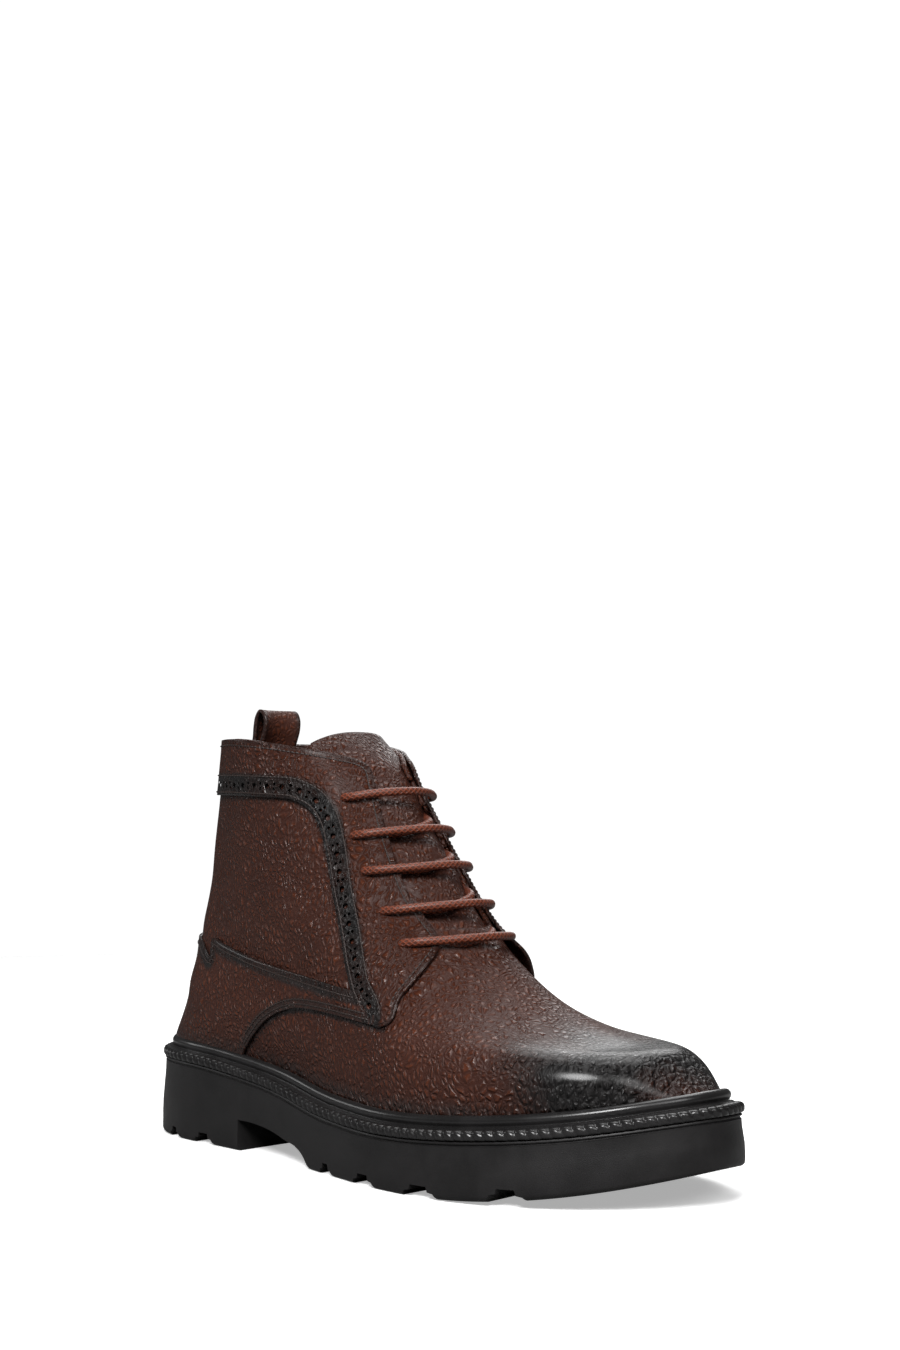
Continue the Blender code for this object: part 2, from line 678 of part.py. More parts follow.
def lace_solid(group, cutters, look):
    """Bars over the facings joined by the crossings between them."""
    over = OVERLAY_FIT + OVERLAY + LACE_CLEAR + LACE_RADIUS
    under = -LEATHER + LACE_CLEAR + LACE_RADIUS
    parts = []
    for row in range(len(EYELETS)):
        ends = [eyelet(row, side, over) for side in (-1, 1)]
        level = EYELETS[row][0]
        points = [ends[0]]
        for side, share in ((-1, 0.72), (-1, 0.42), (0, 0.0), (1, 0.42), (1, 0.72)):
            gap = np.pi - np.radians(EYELETS[row][1])
            turn = np.pi + side * gap * share
            height = over + (0.0012 if share < 0.5 else 0.0005)
            points.append(offset_skin(np.array([level]), np.array([turn]), height)[0])
        points.append(ends[1])
        parts.append(tube("lace_bar_%d" % row, smooth_path(points, 10), LACE_RADIUS, group, look))
    for row in range(len(EYELETS) - 1):
        a = np.pi - np.radians(EYELETS[row][1])
        b = np.pi - np.radians(EYELETS[row + 1][1])
        la = EYELETS[row][0]
        lb = EYELETS[row + 1][0]
        route = (
            (la, -0.40 * a, over + 0.0008), (la + (lb - la) * 0.12, -0.33 * a, over - 0.0004),
            (la + (lb - la) * 0.42, -0.10 * a, under + 0.0022), (la + (lb - la) * 0.62, 0.12 * b, under + 0.0022),
            (la + (lb - la) * 0.90, 0.33 * b, over - 0.0004), (lb, 0.40 * b, over + 0.0008),
        )
        points = []
        for level, turn, height in route:
            points.append(offset_skin(np.array([level]), np.array([np.pi + turn]), height)[0])
        parts.append(tube("lace_cross_%d" % row, smooth_path(points, 8), LACE_RADIUS * 0.96, group, look))
    whole = parts[0]
    whole.name = "laces"
    whole.data.name = "laces"
    order = [parts[5], parts[1], parts[6], parts[2], parts[7], parts[3], parts[8], parts[4]]
    for piece in order:
        boolean(whole, piece, "UNION")
        bpy.data.objects.remove(piece, do_unlink=True)
    tidy(whole, 0.00003)
    return whole


# Pull loop
def pull_loop_solid(group, look):
    """Folded strap that stands at the back of the collar."""
    back = offset_skin(np.array([1.0]), np.array([0.0]), -LEATHER - FIT)[0]
    below = offset_skin(np.array([0.9]), np.array([0.0]), -LEATHER - FIT)[0]
    wall_lean = (back - below) / np.linalg.norm(back - below)
    lean = np.array([LOOP_LEAN, 0.0, 1.0]) / np.hypot(LOOP_LEAN, 1.0)
    side = np.array([lean[2], 0.0, -lean[0]])
    centre = back + side * (LOOP_DEPTH / 2)
    outer = []
    inner = []
    for angle in np.linspace(0, np.pi, 9):
        reach = np.array([-np.cos(angle) * LOOP_DEPTH / 2, np.sin(angle) * LOOP_DEPTH / 2])
        top = centre + lean * (LOOP_HEIGHT - LOOP_DEPTH / 2)
        outer.append(top + side * reach[0] + lean * reach[1])
        shrink = (LOOP_DEPTH / 2 - LOOP_LEATHER) / (LOOP_DEPTH / 2)
        inner.append(top + side * reach[0] * shrink + lean * reach[1] * shrink)
    first = outer[0] - lean * float(np.dot(outer[0] - back, lean))
    start_out = back - wall_lean * LOOP_TAIL
    start_in = start_out + side * LOOP_LEATHER
    end_out = back + side * LOOP_DEPTH * 0.62 - wall_lean * LOOP_TAIL
    end_in = end_out - side * LOOP_LEATHER
    path_out = [start_out, first] + outer + [back + side * LOOP_DEPTH * 0.90 + lean * 0.003, end_out]
    path_in = [start_in, first + side * LOOP_LEATHER] + inner
    path_in += [back + side * (LOOP_DEPTH * 0.90 - LOOP_LEATHER) + lean * 0.003, end_in]
    path_out = path_out[1:-1]
    path_in = path_in[1:-1]
    path_out = [start_out] + path_out + [end_out]
    path_in = [start_in] + path_in + [end_in]
    verts = []
    cross = (-1.0, -0.67, -0.34, 0.0, 0.34, 0.67, 1.0)
    turns = np.linspace(0.0, 0.8, 60)
    for y in cross:
        bend = 0.0
        for level in (1.0, 0.95, 0.9):
            wall = offset_skin(np.full(60, level), turns, -LEATHER - FIT)
            reach = np.interp(abs(y) * LOOP_WIDTH / 2, -wall[:, 1], wall[:, 0]) - wall[0, 0]
            bend = max(bend, float(reach))
        bend += 0.0002
        for p in path_out + path_in:
            verts.append((p[0] + bend, p[1] + y * LOOP_WIDTH / 2, p[2]))
    n = len(path_out)
    ring = 2 * n
    loop = list(range(n)) + list(range(2 * n - 1, n - 1, -1))
    faces = []
    for k in range(len(cross) - 1):
        for i in range(ring):
            a = loop[i]
            b = loop[(i + 1) % ring]
            faces.append((k * ring + a, k * ring + b, (k + 1) * ring + b, (k + 1) * ring + a))
    for k, flip in ((0, False), (len(cross) - 1, True)):
        for i in range(n - 1):
            quad = [k * ring + i, k * ring + i + 1, k * ring + n + i + 1, k * ring + n + i]
            faces.append(tuple(quad[::-1] if flip else quad))
    return mesh_object("pull_loop", verts, faces, group, look)


# Eyelets
def cut_eyelets(items, group):
    for row in range(len(EYELETS)):
        for side in (-1, 1):
            low = eyelet(row, side, -0.0040)
            high = eyelet(row, side, 0.0030)
            axis = high - low
            length = float(np.linalg.norm(axis))
            bpy.ops.mesh.primitive_cylinder_add(vertices=10, radius=EYELET_RADIUS, depth=length)
            punch = bpy.context.active_object
            punch.name = "eyelet_cutter_%d_%s" % (row, "outer" if side < 0 else "inner")
            z = axis / length
            x = np.cross([0.0, 1.0, 0.0], z)
            x /= np.linalg.norm(x)
            y = np.cross(z, x)
            centre = (low + high) / 2
            for vert in punch.data.vertices:
                p = centre + x * vert.co[0] + y * vert.co[1] + z * vert.co[2]
                vert.co = (float(p[0]), float(p[1]), float(p[2]))
            for owner in list(punch.users_collection):
                owner.objects.unlink(punch)
            group.objects.link(punch)
            as_cutter(punch)
            for item in items:
                boolean(item, punch, "DIFFERENCE")
    for item in items:
        tidy(item)


def main():
    clear_scene()
    boot = collection("casual_boot")
    cutters = collection("cutters")
    rubber = material("black_rubber", (0.012, 0.012, 0.013), 0.45)
    rubber_welt = material("welt_rubber", (0.014, 0.014, 0.015), 0.38)
    leather = material("brown_leather", (0.085, 0.030, 0.016), 0.42)
    trim = material("facing_leather", (0.075, 0.026, 0.014), 0.40)
    counter = material("foxing_leather", (0.070, 0.024, 0.013), 0.40)
    soft = material("tongue_leather", (0.090, 0.032, 0.017), 0.45)
    board = material("insole_leather", (0.180, 0.110, 0.060), 0.70)
    cord = material("lace_cord", (0.160, 0.040, 0.014), 0.55)
    strap = material("loop_leather", (0.080, 0.028, 0.015), 0.45)
    outsole_solid(boot, cutters, rubber)
    welt_solid(boot, rubber_welt)
    insole_solid(boot, board)
    upper = upper_solid(boot, cutters, leather)
    facing = collar_facing_solid(boot, cutters, trim)
    heel_foxing_solid(boot, cutters, counter)
    tongue_solid(boot, cutters, soft)
    lace_solid(boot, cutters, cord)
    pull_loop_solid(boot, strap)
    cut_eyelets([upper, facing], cutters)


main()
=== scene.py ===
"""Casual lace-up ankle boot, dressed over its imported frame."""
import math

import bpy
import numpy as np
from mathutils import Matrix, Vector


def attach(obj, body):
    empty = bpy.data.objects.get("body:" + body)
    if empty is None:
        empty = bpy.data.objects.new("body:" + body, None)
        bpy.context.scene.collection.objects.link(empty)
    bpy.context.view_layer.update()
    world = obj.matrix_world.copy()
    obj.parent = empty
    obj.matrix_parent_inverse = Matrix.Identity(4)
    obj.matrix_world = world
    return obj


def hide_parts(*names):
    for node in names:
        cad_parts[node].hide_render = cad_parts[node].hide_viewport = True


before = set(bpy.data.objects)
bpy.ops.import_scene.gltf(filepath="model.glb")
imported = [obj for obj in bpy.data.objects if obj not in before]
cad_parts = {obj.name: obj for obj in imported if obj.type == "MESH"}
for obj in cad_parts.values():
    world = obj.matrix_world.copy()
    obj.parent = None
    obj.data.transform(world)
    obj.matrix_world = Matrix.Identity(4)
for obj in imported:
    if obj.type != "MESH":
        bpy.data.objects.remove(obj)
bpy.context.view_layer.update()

bl_info = {
    "name": "Casual lace-up boot",
    "version": (1, 0, 0),
    "blender": (4, 5, 0),
    "location": "View3D > Sidebar > Boot",
    "description": "Builds a pebbled leather ankle boot on a lugged rubber sole",
    "category": "Add Mesh",
}

# Last: outline of the sole as share of its length, outer and inner half width
PLAN = (
    (0.000, 0.000, 0.000), (0.015, 0.160, 0.160), (0.050, 0.272, 0.275), (0.120, 0.345, 0.345),
    (0.220, 0.360, 0.355), (0.360, 0.382, 0.343), (0.500, 0.460, 0.395), (0.620, 0.515, 0.460),
    (0.740, 0.507, 0.485), (0.840, 0.432, 0.453), (0.920, 0.315, 0.358), (0.970, 0.190, 0.232),
    (1.000, 0.000, 0.000),
)
TOP_FALL = (
    (0.00, 1.00), (0.18, 0.93), (0.33, 0.62), (0.46, 0.20),
    (0.60, 0.00), (0.75, 0.03), (0.88, 0.00), (1.00, 0.00),
)
TOE_LIFT = ((0.00, 0.00), (0.60, 0.00), (0.75, 0.12), (0.88, 0.48), (1.00, 1.00))

# Sections of the upper: back x and z, front x and z, half widths at the inner stations
STATIONS = (0.0, 25.0, 50.0, 80.0, 110.0, 135.0, 157.0, 180.0)
SECTIONS = (
    (-0.4673, 0.335, 0.4639, 0.2668, 0.2256, 0.3066, 0.3456, 0.4335, 0.3975, 0.2605),
    (-0.4663, 0.390, 0.4339, 0.3114, 0.2102, 0.2976, 0.3460, 0.4085, 0.3580, 0.2250),
    (-0.4613, 0.455, 0.3749, 0.3108, 0.1867, 0.2838, 0.3410, 0.3825, 0.3240, 0.1850),
    (-0.4576, 0.530, 0.2766, 0.3541, 0.1689, 0.2678, 0.3322, 0.3615, 0.2980, 0.1640),
    (-0.4423, 0.615, 0.1895, 0.4427, 0.1606, 0.2533, 0.3270, 0.3397, 0.2745, 0.1474),
    (-0.4244, 0.705, 0.1167, 0.5573, 0.1652, 0.2511, 0.3244, 0.3141, 0.2404, 0.1290),
    (-0.4058, 0.800, 0.0567, 0.6936, 0.1750, 0.2586, 0.3195, 0.2958, 0.2165, 0.1161),
    (-0.3806, 0.900, -0.0058, 0.8276, 0.1890, 0.2749, 0.3247, 0.2879, 0.2005, 0.1086),
    (-0.3591, 1.000, -0.0595, 0.9626, 0.2029, 0.2916, 0.3351, 0.2818, 0.1848, 0.1010),
)
COLLAR_LINE = ((0.0, 0.0), (0.3, 0.0124), (0.6, 0.0068), (0.85, -0.0124), (1.0, -0.0311))
SAG_REACH = 4.5
LEAN_REACH = 0.87

# Facing and collar band: turn and level of the punched edge, then of the throat and collar edge
FACING_ROWS = (
    (102.0, 0.306, 105.5, 0.288),
    (106.5, 0.420, 121.5, 0.438),
    (109.5, 0.490, 131.0, 0.502),
    (111.5, 0.545, 142.5, 0.565),
    (112.8, 0.585, 149.5, 0.602),
    (113.5, 0.615, 152.8, 0.635),
    (114.0, 0.645, 151.5, 0.666),
    (114.5, 0.690, 148.0, 0.719),
    (115.0, 0.740, 148.0, 0.783),
    (115.6, 0.795, 150.0, 0.843),
    (115.6, 0.832, 153.5, 0.900),
    (113.8, 0.858, 156.0, 0.946),
    (111.0, 0.870, 157.5, 0.980),
    (107.0, 0.877, 151.5, 0.997),
    (103.0, 0.880, 138.0, 1.000),
    (98.0, 0.879, 121.0, 1.000),
    (89.0, 0.875, 104.0, 1.000),
    (77.0, 0.870, 84.0, 1.000),
    (59.0, 0.863, 62.0, 1.000),
    (39.5, 0.856, 40.0, 1.000),
    (20.0, 0.852, 20.0, 1.000),
    (0.0, 0.850, 0.0, 1.000),
)

# Free corners of the facing: row, reach, sharpness, lift on the inner and on the outer side
FACING_LIFTS = ((3.2, 1.9, 3, 0.0034, 0.0012), (12.2, 1.2, 6, 0.0022, 0.0008))
# Dark strips along the lower and the upper edge: amount, where it starts to fade, where it ends
FACING_STRIPS = ((0.92, 0.0088, 0.0108), (0.45, 0.0010, 0.0030))
FOXING_STRIPS = ((0.60, 0.0030, 0.0058), (0.85, 0.0042, 0.0066))

# Heel foxing: turn and level of the lower edge and seam, then of the top edge with its notch
FOXING_ROWS = (
    (0.0, -0.004, 0.0, 0.415),
    (18.0, -0.004, 18.0, 0.412),
    (30.0, -0.004, 30.0, 0.405),
    (37.0, -0.004, 37.0, 0.383),
    (42.0, -0.004, 41.8, 0.360),
    (43.6, -0.004, 43.4, 0.398),
    (46.0, -0.004, 45.5, 0.441),
    (54.0, -0.004, 53.0, 0.435),
    (60.0, -0.004, 61.0, 0.431),
    (61.3, 0.023, 65.0, 0.429),
    (63.5, 0.074, 69.5, 0.428),
    (67.5, 0.144, 75.0, 0.429),
    (73.5, 0.217, 80.5, 0.431),
    (81.5, 0.278, 88.0, 0.436),
    (92.0, 0.304, 96.0, 0.438),
    (102.0, 0.302, 104.5, 0.440),
    (106.5, 0.296, 110.0, 0.442),
)

# Eyelet rows: level and turn on the outer side
EYELETS = ((0.605, 136.0), (0.672, 133.5), (0.749, 130.5), (0.822, 130.8), (0.903, 132.5))

# Soft troughs and ridges: level, turn, reach along the level, reach along the turn, tilt, height
CREASES = (
    (0.40, 168.0, 0.030, 14.0, 0.15, -0.0007),
    (0.47, 190.0, 0.030, 16.0, -0.10, -0.0006),
    (0.55, 60.0, 0.030, 16.0, 0.30, -0.0007),
    (0.62, 48.0, 0.028, 14.0, 0.25, -0.0006),
    (0.55, 300.0, 0.030, 16.0, -0.30, -0.0007),
    (0.63, 312.0, 0.028, 14.0, -0.25, -0.0006),
    (0.60, 96.0, 0.060, 12.0, 0.10, 0.0008),
    (0.60, 264.0, 0.060, 12.0, -0.10, 0.0008),
    (0.72, 80.0, 0.080, 14.0, 0.10, -0.0008),
    (0.72, 280.0, 0.080, 14.0, -0.10, -0.0008),
)

# Lug notches: start and end along the sole
NOTCHES = (
    (-0.1216, -0.1153), (-0.1004, -0.0899), (-0.0043, 0.0021),
    (0.0208, 0.0316), (0.0513, 0.0648), (0.0895, 0.1008),
)
ARCH_LINE = (
    (0.00, 1.00), (0.18, 0.985), (0.42, 0.87), (0.64, 0.68),
    (0.80, 0.57), (0.90, 0.38), (1.00, 0.00),
)
ARCH_START, ARCH_LENGTH, ARCH_END, ARCH_HEIGHT = -0.0698, 0.0558, -0.0135, 0.0132
NOTCH_DEPTH, NOTCH_REACH = 0.0046, 0.024
BELOW, BEYOND = -0.01, 0.08
GROOVES = ((-0.134, -0.080), (0.004, 0.118))
GROOVE_WIDTH, GROOVE_DEPTH = 0.006, 0.0034

# Edge of the sole, welt and bead
SOLE_EDGE, HEEL_RISE, TOE_RISE = 0.0205, 0.0140, 0.0125
SPRING_START, SPRING_HEIGHT, SPRING_CURVE = 0.66, 0.014, 2.2
SWING_START, SWING_GAIN = 0.0007, 0.0075
WELT_AT_HEEL, WELT_GAIN = 0.0068, 0.0017
BEAD_TOP = 0.0085
TREAD_ROUND, TREAD_INSET, WALL_INSET, WALL_TOP = 0.0022, 0.0030, 0.0012, 0.0026
# Upper edge of the outsole with its fine line: distance in from the outline, height
UPPER_EDGE = (
    (0.0012, -0.0024), (0.0012, -0.0020), (0.0017, -0.0017), (0.0018, -0.0013),
    (0.0011, -0.0010), (0.0009, -0.0006), (0.0012, -0.0001), (0.0020, 0.0),
)
SHRINK_TO_MIDDLE = 0.90

# Rim and bead of the welt: distance in from the edge, height, share of the rope's teeth
WELT_RIM = (
    (0.0016, 0.0003, 0), (0.0004, 0.0004, 0.3), (0.0, 0.0012, 1.0), (0.0, 0.0020, 1.0),
    (0.0, 0.0028, 1.0), (0.0003, 0.0035, 1.0), (0.0009, 0.0040, 0.9), (0.0016, 0.0042, 0.5),
    (0.0022, 0.0041, 0.1), (0.0027, 0.0041, 0), (0.0033, 0.0044, 0), (0.0038, 0.0047, 0),
    (0.0042, 0.0047, 0), (0.0044, 0.0044, 0), (0.0046, 0.0047, 0), (0.0044, 0.0053, 0),
    (0.0041, 0.0060, 0), (0.0040, 0.0068, 0), (0.0042, 0.0077, 0), (0.0047, 0.0084, 0),
    (0.0053, 0.0088, 0), (0.0060, 0.0089, 0),
)
# Inner wall of the welt: distance behind its width, height
WELT_SEAT = ((0.0006, 0.0088), (0.0001, 0.0084), (-0.0001, 0.0070), (0.0000, 0.0003))
RIM_WIDTH, RIM_HEIGHT = 0.0072, 0.0040
TOOTH_LENGTH, TOOTH_DEPTH, TOOTH_DROP, TOOTH_SLANT = 0.0044, 0.0010, 0.0005, 0.55

# Insole: pull towards the middle line, share of its thickness
INSOLE_ROWS = (
    (0.0, 0.0), (0.5, 0.0), (0.98, 0.0), (1.0, 0.15),
    (1.0, 0.85), (0.98, 1.0), (0.5, 1.0), (0.0, 1.0),
)
INSOLE_INSET, INSOLE_GAP, INSOLE_THICKNESS = 0.0026, 0.0003, 0.003

# Leather pieces: gaps, thicknesses and the open throat
OVERLAY_GAP = 0.0002
TUCK_ROWS, TUCK_GAP = 4, 0.0004
TONGUE_FOOT, TONGUE_TOP, TONGUE_HALF, TONGUE_THICKNESS = 0.56, 0.180, 0.034, 0.0022
UNDER_LEATHER = 0.0023
LOOP_WIDTH, LOOP_THICKNESS, LOOP_BOW = 0.020, 0.0016, 0.00288
LOOP_ROUTE = (
    (-0.0045, -0.0160), (-0.0012, -0.0040), (0.0004, 0.0030), (0.0010, 0.0085),
    (0.0022, 0.0130), (0.0048, 0.0158), (0.0082, 0.0152), (0.0104, 0.0120),
    (0.0104, 0.0070), (0.0086, 0.0020), (0.0056, -0.0040), (0.0022, -0.0160),
)
THREAD_RADIUS, THREAD_DIP, THREAD_ARCH = 0.00030, 0.0007, 0.85
SEAM_LIFT, TOP_SEAM, FACING_SEAMS, FOXING_SEAMS = 0.0001, 0.0026, (0.0014, 0.0088), (0.0016, 0.0036)
THROAT_BACK, THROAT_FOOT, THROAT_SPARE = -0.055, 0.0975, 0.0016
THROAT_HALF = (
    (0.080, 0.0185), (0.095, 0.0183), (0.111, 0.0190), (0.124, 0.0178),
    (0.136, 0.0162), (0.147, 0.0138), (0.156, 0.0122), (0.210, 0.0112),
)
HOLE_LINE = 0.0047
LARGE_HOLE, SMALL_HOLE, SMALL_HOLE_OFFSET = 0.00128, 0.00070, 0.00105

# Lace: shares of a crossing with their heights, shares of a bar with what it stands above the skin
LACE_UNDER, LACE_DIP, LACE_END = -0.0036, -0.0016, -0.0042
CROSSING = ((0.08, LACE_UNDER), (0.34, -0.0003), (0.62, -0.0002), (0.92, LACE_UNDER))
BAR = ((0.62, 0.0006), (0.30, 0.0016), (0.0, 0.0020), (-0.30, 0.0017), (-0.62, 0.0007))
BAR_BOW, BAR_SLACK = 0.021, 0.0006

# Studio: name, place, target, size and power of each light
LIGHTS = (
    ("overhead", (-0.25, 0.40, 1.30), (0.0, 0.0, 0.05), 1.1, 12.0),
    ("key", (0.55, -0.85, 0.85), (0.0, -0.02, 0.10), 0.45, 20.0),
    ("front", (1.05, -0.25, 0.80), (0.10, 0.0, 0.05), 0.60, 5.5),
    ("back", (-0.70, 0.95, 0.75), (0.02, 0.0, 0.08), 0.8, 4.5),
    ("rim", (-1.10, -0.50, 0.45), (-0.08, 0.0, 0.10), 0.35, 1.2),
)
FLOOR_RADIUS = 1.3
FLOOR_IN_MIRROR = (0.22, 0.22, 0.22)
FLOOR_GLOW = (0.40, 0.40, 0.40)
WORLD_AS_LIGHT, WORLD_AS_SEEN = 0.06, 1.05

# Camera, fitted to the photograph: angles in degrees, places in metres, focus in its pixels
AZIMUTH, ELEVATION, DISTANCE = 46.009, 5.700, 0.796979
LOOK_HEIGHT, AIM_RIGHT, AIM_UP = 0.060, 0.013883, 0.145018
FOCUS_PIXELS, PHOTO_PIXELS, SENSOR = 1865.829, 1350.0, 36.0


# Sizes and colours
def length(name, about, default):
    return bpy.props.FloatProperty(
        name=name, description=about, default=default, min=0.0, unit="LENGTH", precision=5
    )


def tint(name, about, default):
    return bpy.props.FloatVectorProperty(
        name=name, description=about, default=default, size=3, min=0.0, max=1.0, subtype="COLOR"
    )


class BootSizes(bpy.types.PropertyGroup):
    sole_length: length("Sole length", "Length of the outsole", 0.3050)
    ball_width: length("Ball width", "Base of every half width of the last", 0.1115)
    collar_height: length("Collar height", "Height of the collar at the back", 0.1770)
    upper_length: length("Upper length", "Base of the section table's x values", 0.2905)
    wall: length("Leather", "Thickness of the upper", 0.0020)
    overlay: length("Overlay", "Thickness of facing and foxing", 0.0014)
    lace: length("Lace", "Radius of the round lace", 0.00175)
    grain: length("Grain", "Size of a leather cell", 0.0024)
    hole_pitch: length("Hole pitch", "Distance between the large punched holes", 0.0080)
    stitch_pitch: length("Stitch", "Length of one stitch", 0.0021)


class BootColours(bpy.types.PropertyGroup):
    leather: tint("Leather", "Brown of the upper", (0.064, 0.0180, 0.0085))
    # Dark colour for the burnish value, which on the upper also carries painted seam shade
    burnish_and_shade: tint("Burnish", "Dark toning at toe, seams and heel", (0.0045, 0.0036, 0.0036))
    raw_edge: tint("Raw edge", "Cut edge of the leather", (0.42, 0.115, 0.035))
    lace: tint("Lace", "Waxed round lace", (0.130, 0.024, 0.006))
    rubber: tint("Rubber", "Sole and welt", (0.0085, 0.0080, 0.0082))
    thread: tint("Thread", "Seams", (0.020, 0.011, 0.009))
    lining: tint("Lining", "Inside of the boot", (0.050, 0.028, 0.018))
    floor: tint("Floor", "Floor and backdrop", (0.93, 0.93, 0.93))


def sizes():
    return bpy.context.scene.boot_sizes


def colours():
    return bpy.context.scene.boot_colours


# Curves
def curve(points, x):
    """Smooth curve through a table of places and values."""
    table = np.asarray(points, float)
    xs, ys = table[:, 0], table[:, 1]
    x = np.asarray(x, float)
    step = np.diff(xs)
    slope = np.diff(ys) / step
    tangent = np.empty(len(xs))
    tangent[0], tangent[-1] = slope[0], slope[-1]
    tangent[1:-1] = (slope[:-1] * step[1:] + slope[1:] * step[:-1]) / (step[:-1] + step[1:])
    i = np.clip(np.searchsorted(xs, x, side="right") - 1, 0, len(xs) - 2)
    t = (x - xs[i]) / step[i]
    part = (2 * t**3 - 3 * t**2 + 1) * ys[i] + (-2 * t**3 + 3 * t**2) * ys[i + 1]
    return part + step[i] * ((t**3 - 2 * t**2 + t) * tangent[i] + (t**3 - t**2) * tangent[i + 1])


def mirrored(angles, values, x):
    """Curve over half a round that goes on evenly past both ends."""
    a = np.concatenate([[-angles[1]], angles, [2 * np.pi - angles[-2]]])
    v = np.concatenate([[-values[1]], values, [-values[-2]]])
    return curve(np.column_stack([a, v]), x)


def smooth(low, high, x):
    t = np.clip((x - low) / (high - low), 0, 1)
    return t * t * (3 - 2 * t)


def unit(vectors):
    return vectors / np.linalg.norm(vectors, axis=-1)[..., None]


def run_along(points):
    """Length from the first point of a line to each of its points."""
    steps = np.linalg.norm(np.diff(points, axis=0), axis=1)
    return np.concatenate([[0], np.cumsum(steps)])


def points_at(lengths, run, points):
    """Points of a line at given lengths along it."""
    return np.column_stack([np.interp(lengths, run, points[:, k]) for k in range(3)])


def curve_through(knots, points, at):
    """Smooth line through points, read at lengths along it."""
    parts = [curve(np.column_stack([knots, part]), at) for part in np.transpose(points)]
    return np.column_stack(parts)


def columns(rows, pick):
    """Columns of a table, read at the picked rows."""
    return [np.array(part)[pick] for part in zip(*rows)]


# Last
def plan_half(share, entry):
    """Half width of the sole: entry 1 on the outer side, 2 on the inner side."""
    table = np.asarray(PLAN)
    angles = np.arccos(1 - 2 * table[:, 0])
    turn = np.arccos(np.clip(1 - 2 * np.asarray(share), -1, 1))
    return mirrored(angles, table[:, entry] * sizes().ball_width, turn)


def swing(share):
    """Sideways shift of the middle towards the inner side of the toe."""
    return SWING_START + SWING_GAIN * np.clip((np.asarray(share) - 0.5) / 0.5, 0, 1) ** 2


def outline(turn, inset):
    """Sole outline at any turn, set in along its own normal."""
    def raw(a):
        a = a % (2 * np.pi)
        share = (1 - np.cos(a)) / 2
        y = np.where(np.sin(a) >= 0, -plan_half(share, 1), plan_half(share, 2)) + swing(share)
        return np.stack([(share - 0.5) * sizes().sole_length, y], -1)
    turn = np.asarray(turn, float)
    h = 0.02
    along = unit(raw(turn + h) - raw(turn - h))
    inward = np.stack([-along[..., 1], along[..., 0]], -1)
    return raw(turn) + inward * np.asarray(inset)[..., None]


def share_of(turn):
    return (1 - np.cos(turn)) / 2


def top_edge(share):
    """Height of the outsole's upper edge."""
    return SOLE_EDGE + HEEL_RISE * curve(TOP_FALL, share) + TOE_RISE * curve(TOE_LIFT, share)


def bead_top(x):
    """Height of the bead, where the upper starts."""
    return top_edge(np.clip(np.asarray(x) / sizes().sole_length + 0.5, 0, 1)) + BEAD_TOP


def underside(share):
    """Height of the tread, which rises at the toe."""
    rise = np.clip((share - SPRING_START) / (1 - SPRING_START), 0, 1)
    return SPRING_HEIGHT * rise**SPRING_CURVE


def welt_width(share):
    return WELT_AT_HEEL + WELT_GAIN * share


def pulled(turn, inset, pull):
    """Outline at pull 1, drawn in to the middle line at pull 0."""
    flat = outline(turn, inset)
    even = (flat[:, 0] + outline(2 * np.pi - turn, inset)[:, 0]) / 2
    reach = SHRINK_TO_MIDDLE + (1 - SHRINK_TO_MIDDLE) * pull
    x = (flat[:, 0] * pull + even * (1 - pull)) * reach
    return x, midline(x) + (flat[:, 1] - midline(flat[:, 0])) * pull


def midline(x):
    """Sideways place of the last's middle line."""
    share = np.clip(x / sizes().sole_length + 0.5, 0, 1)
    return (plan_half(share, 2) - plan_half(share, 1)) / 2 + swing(share)


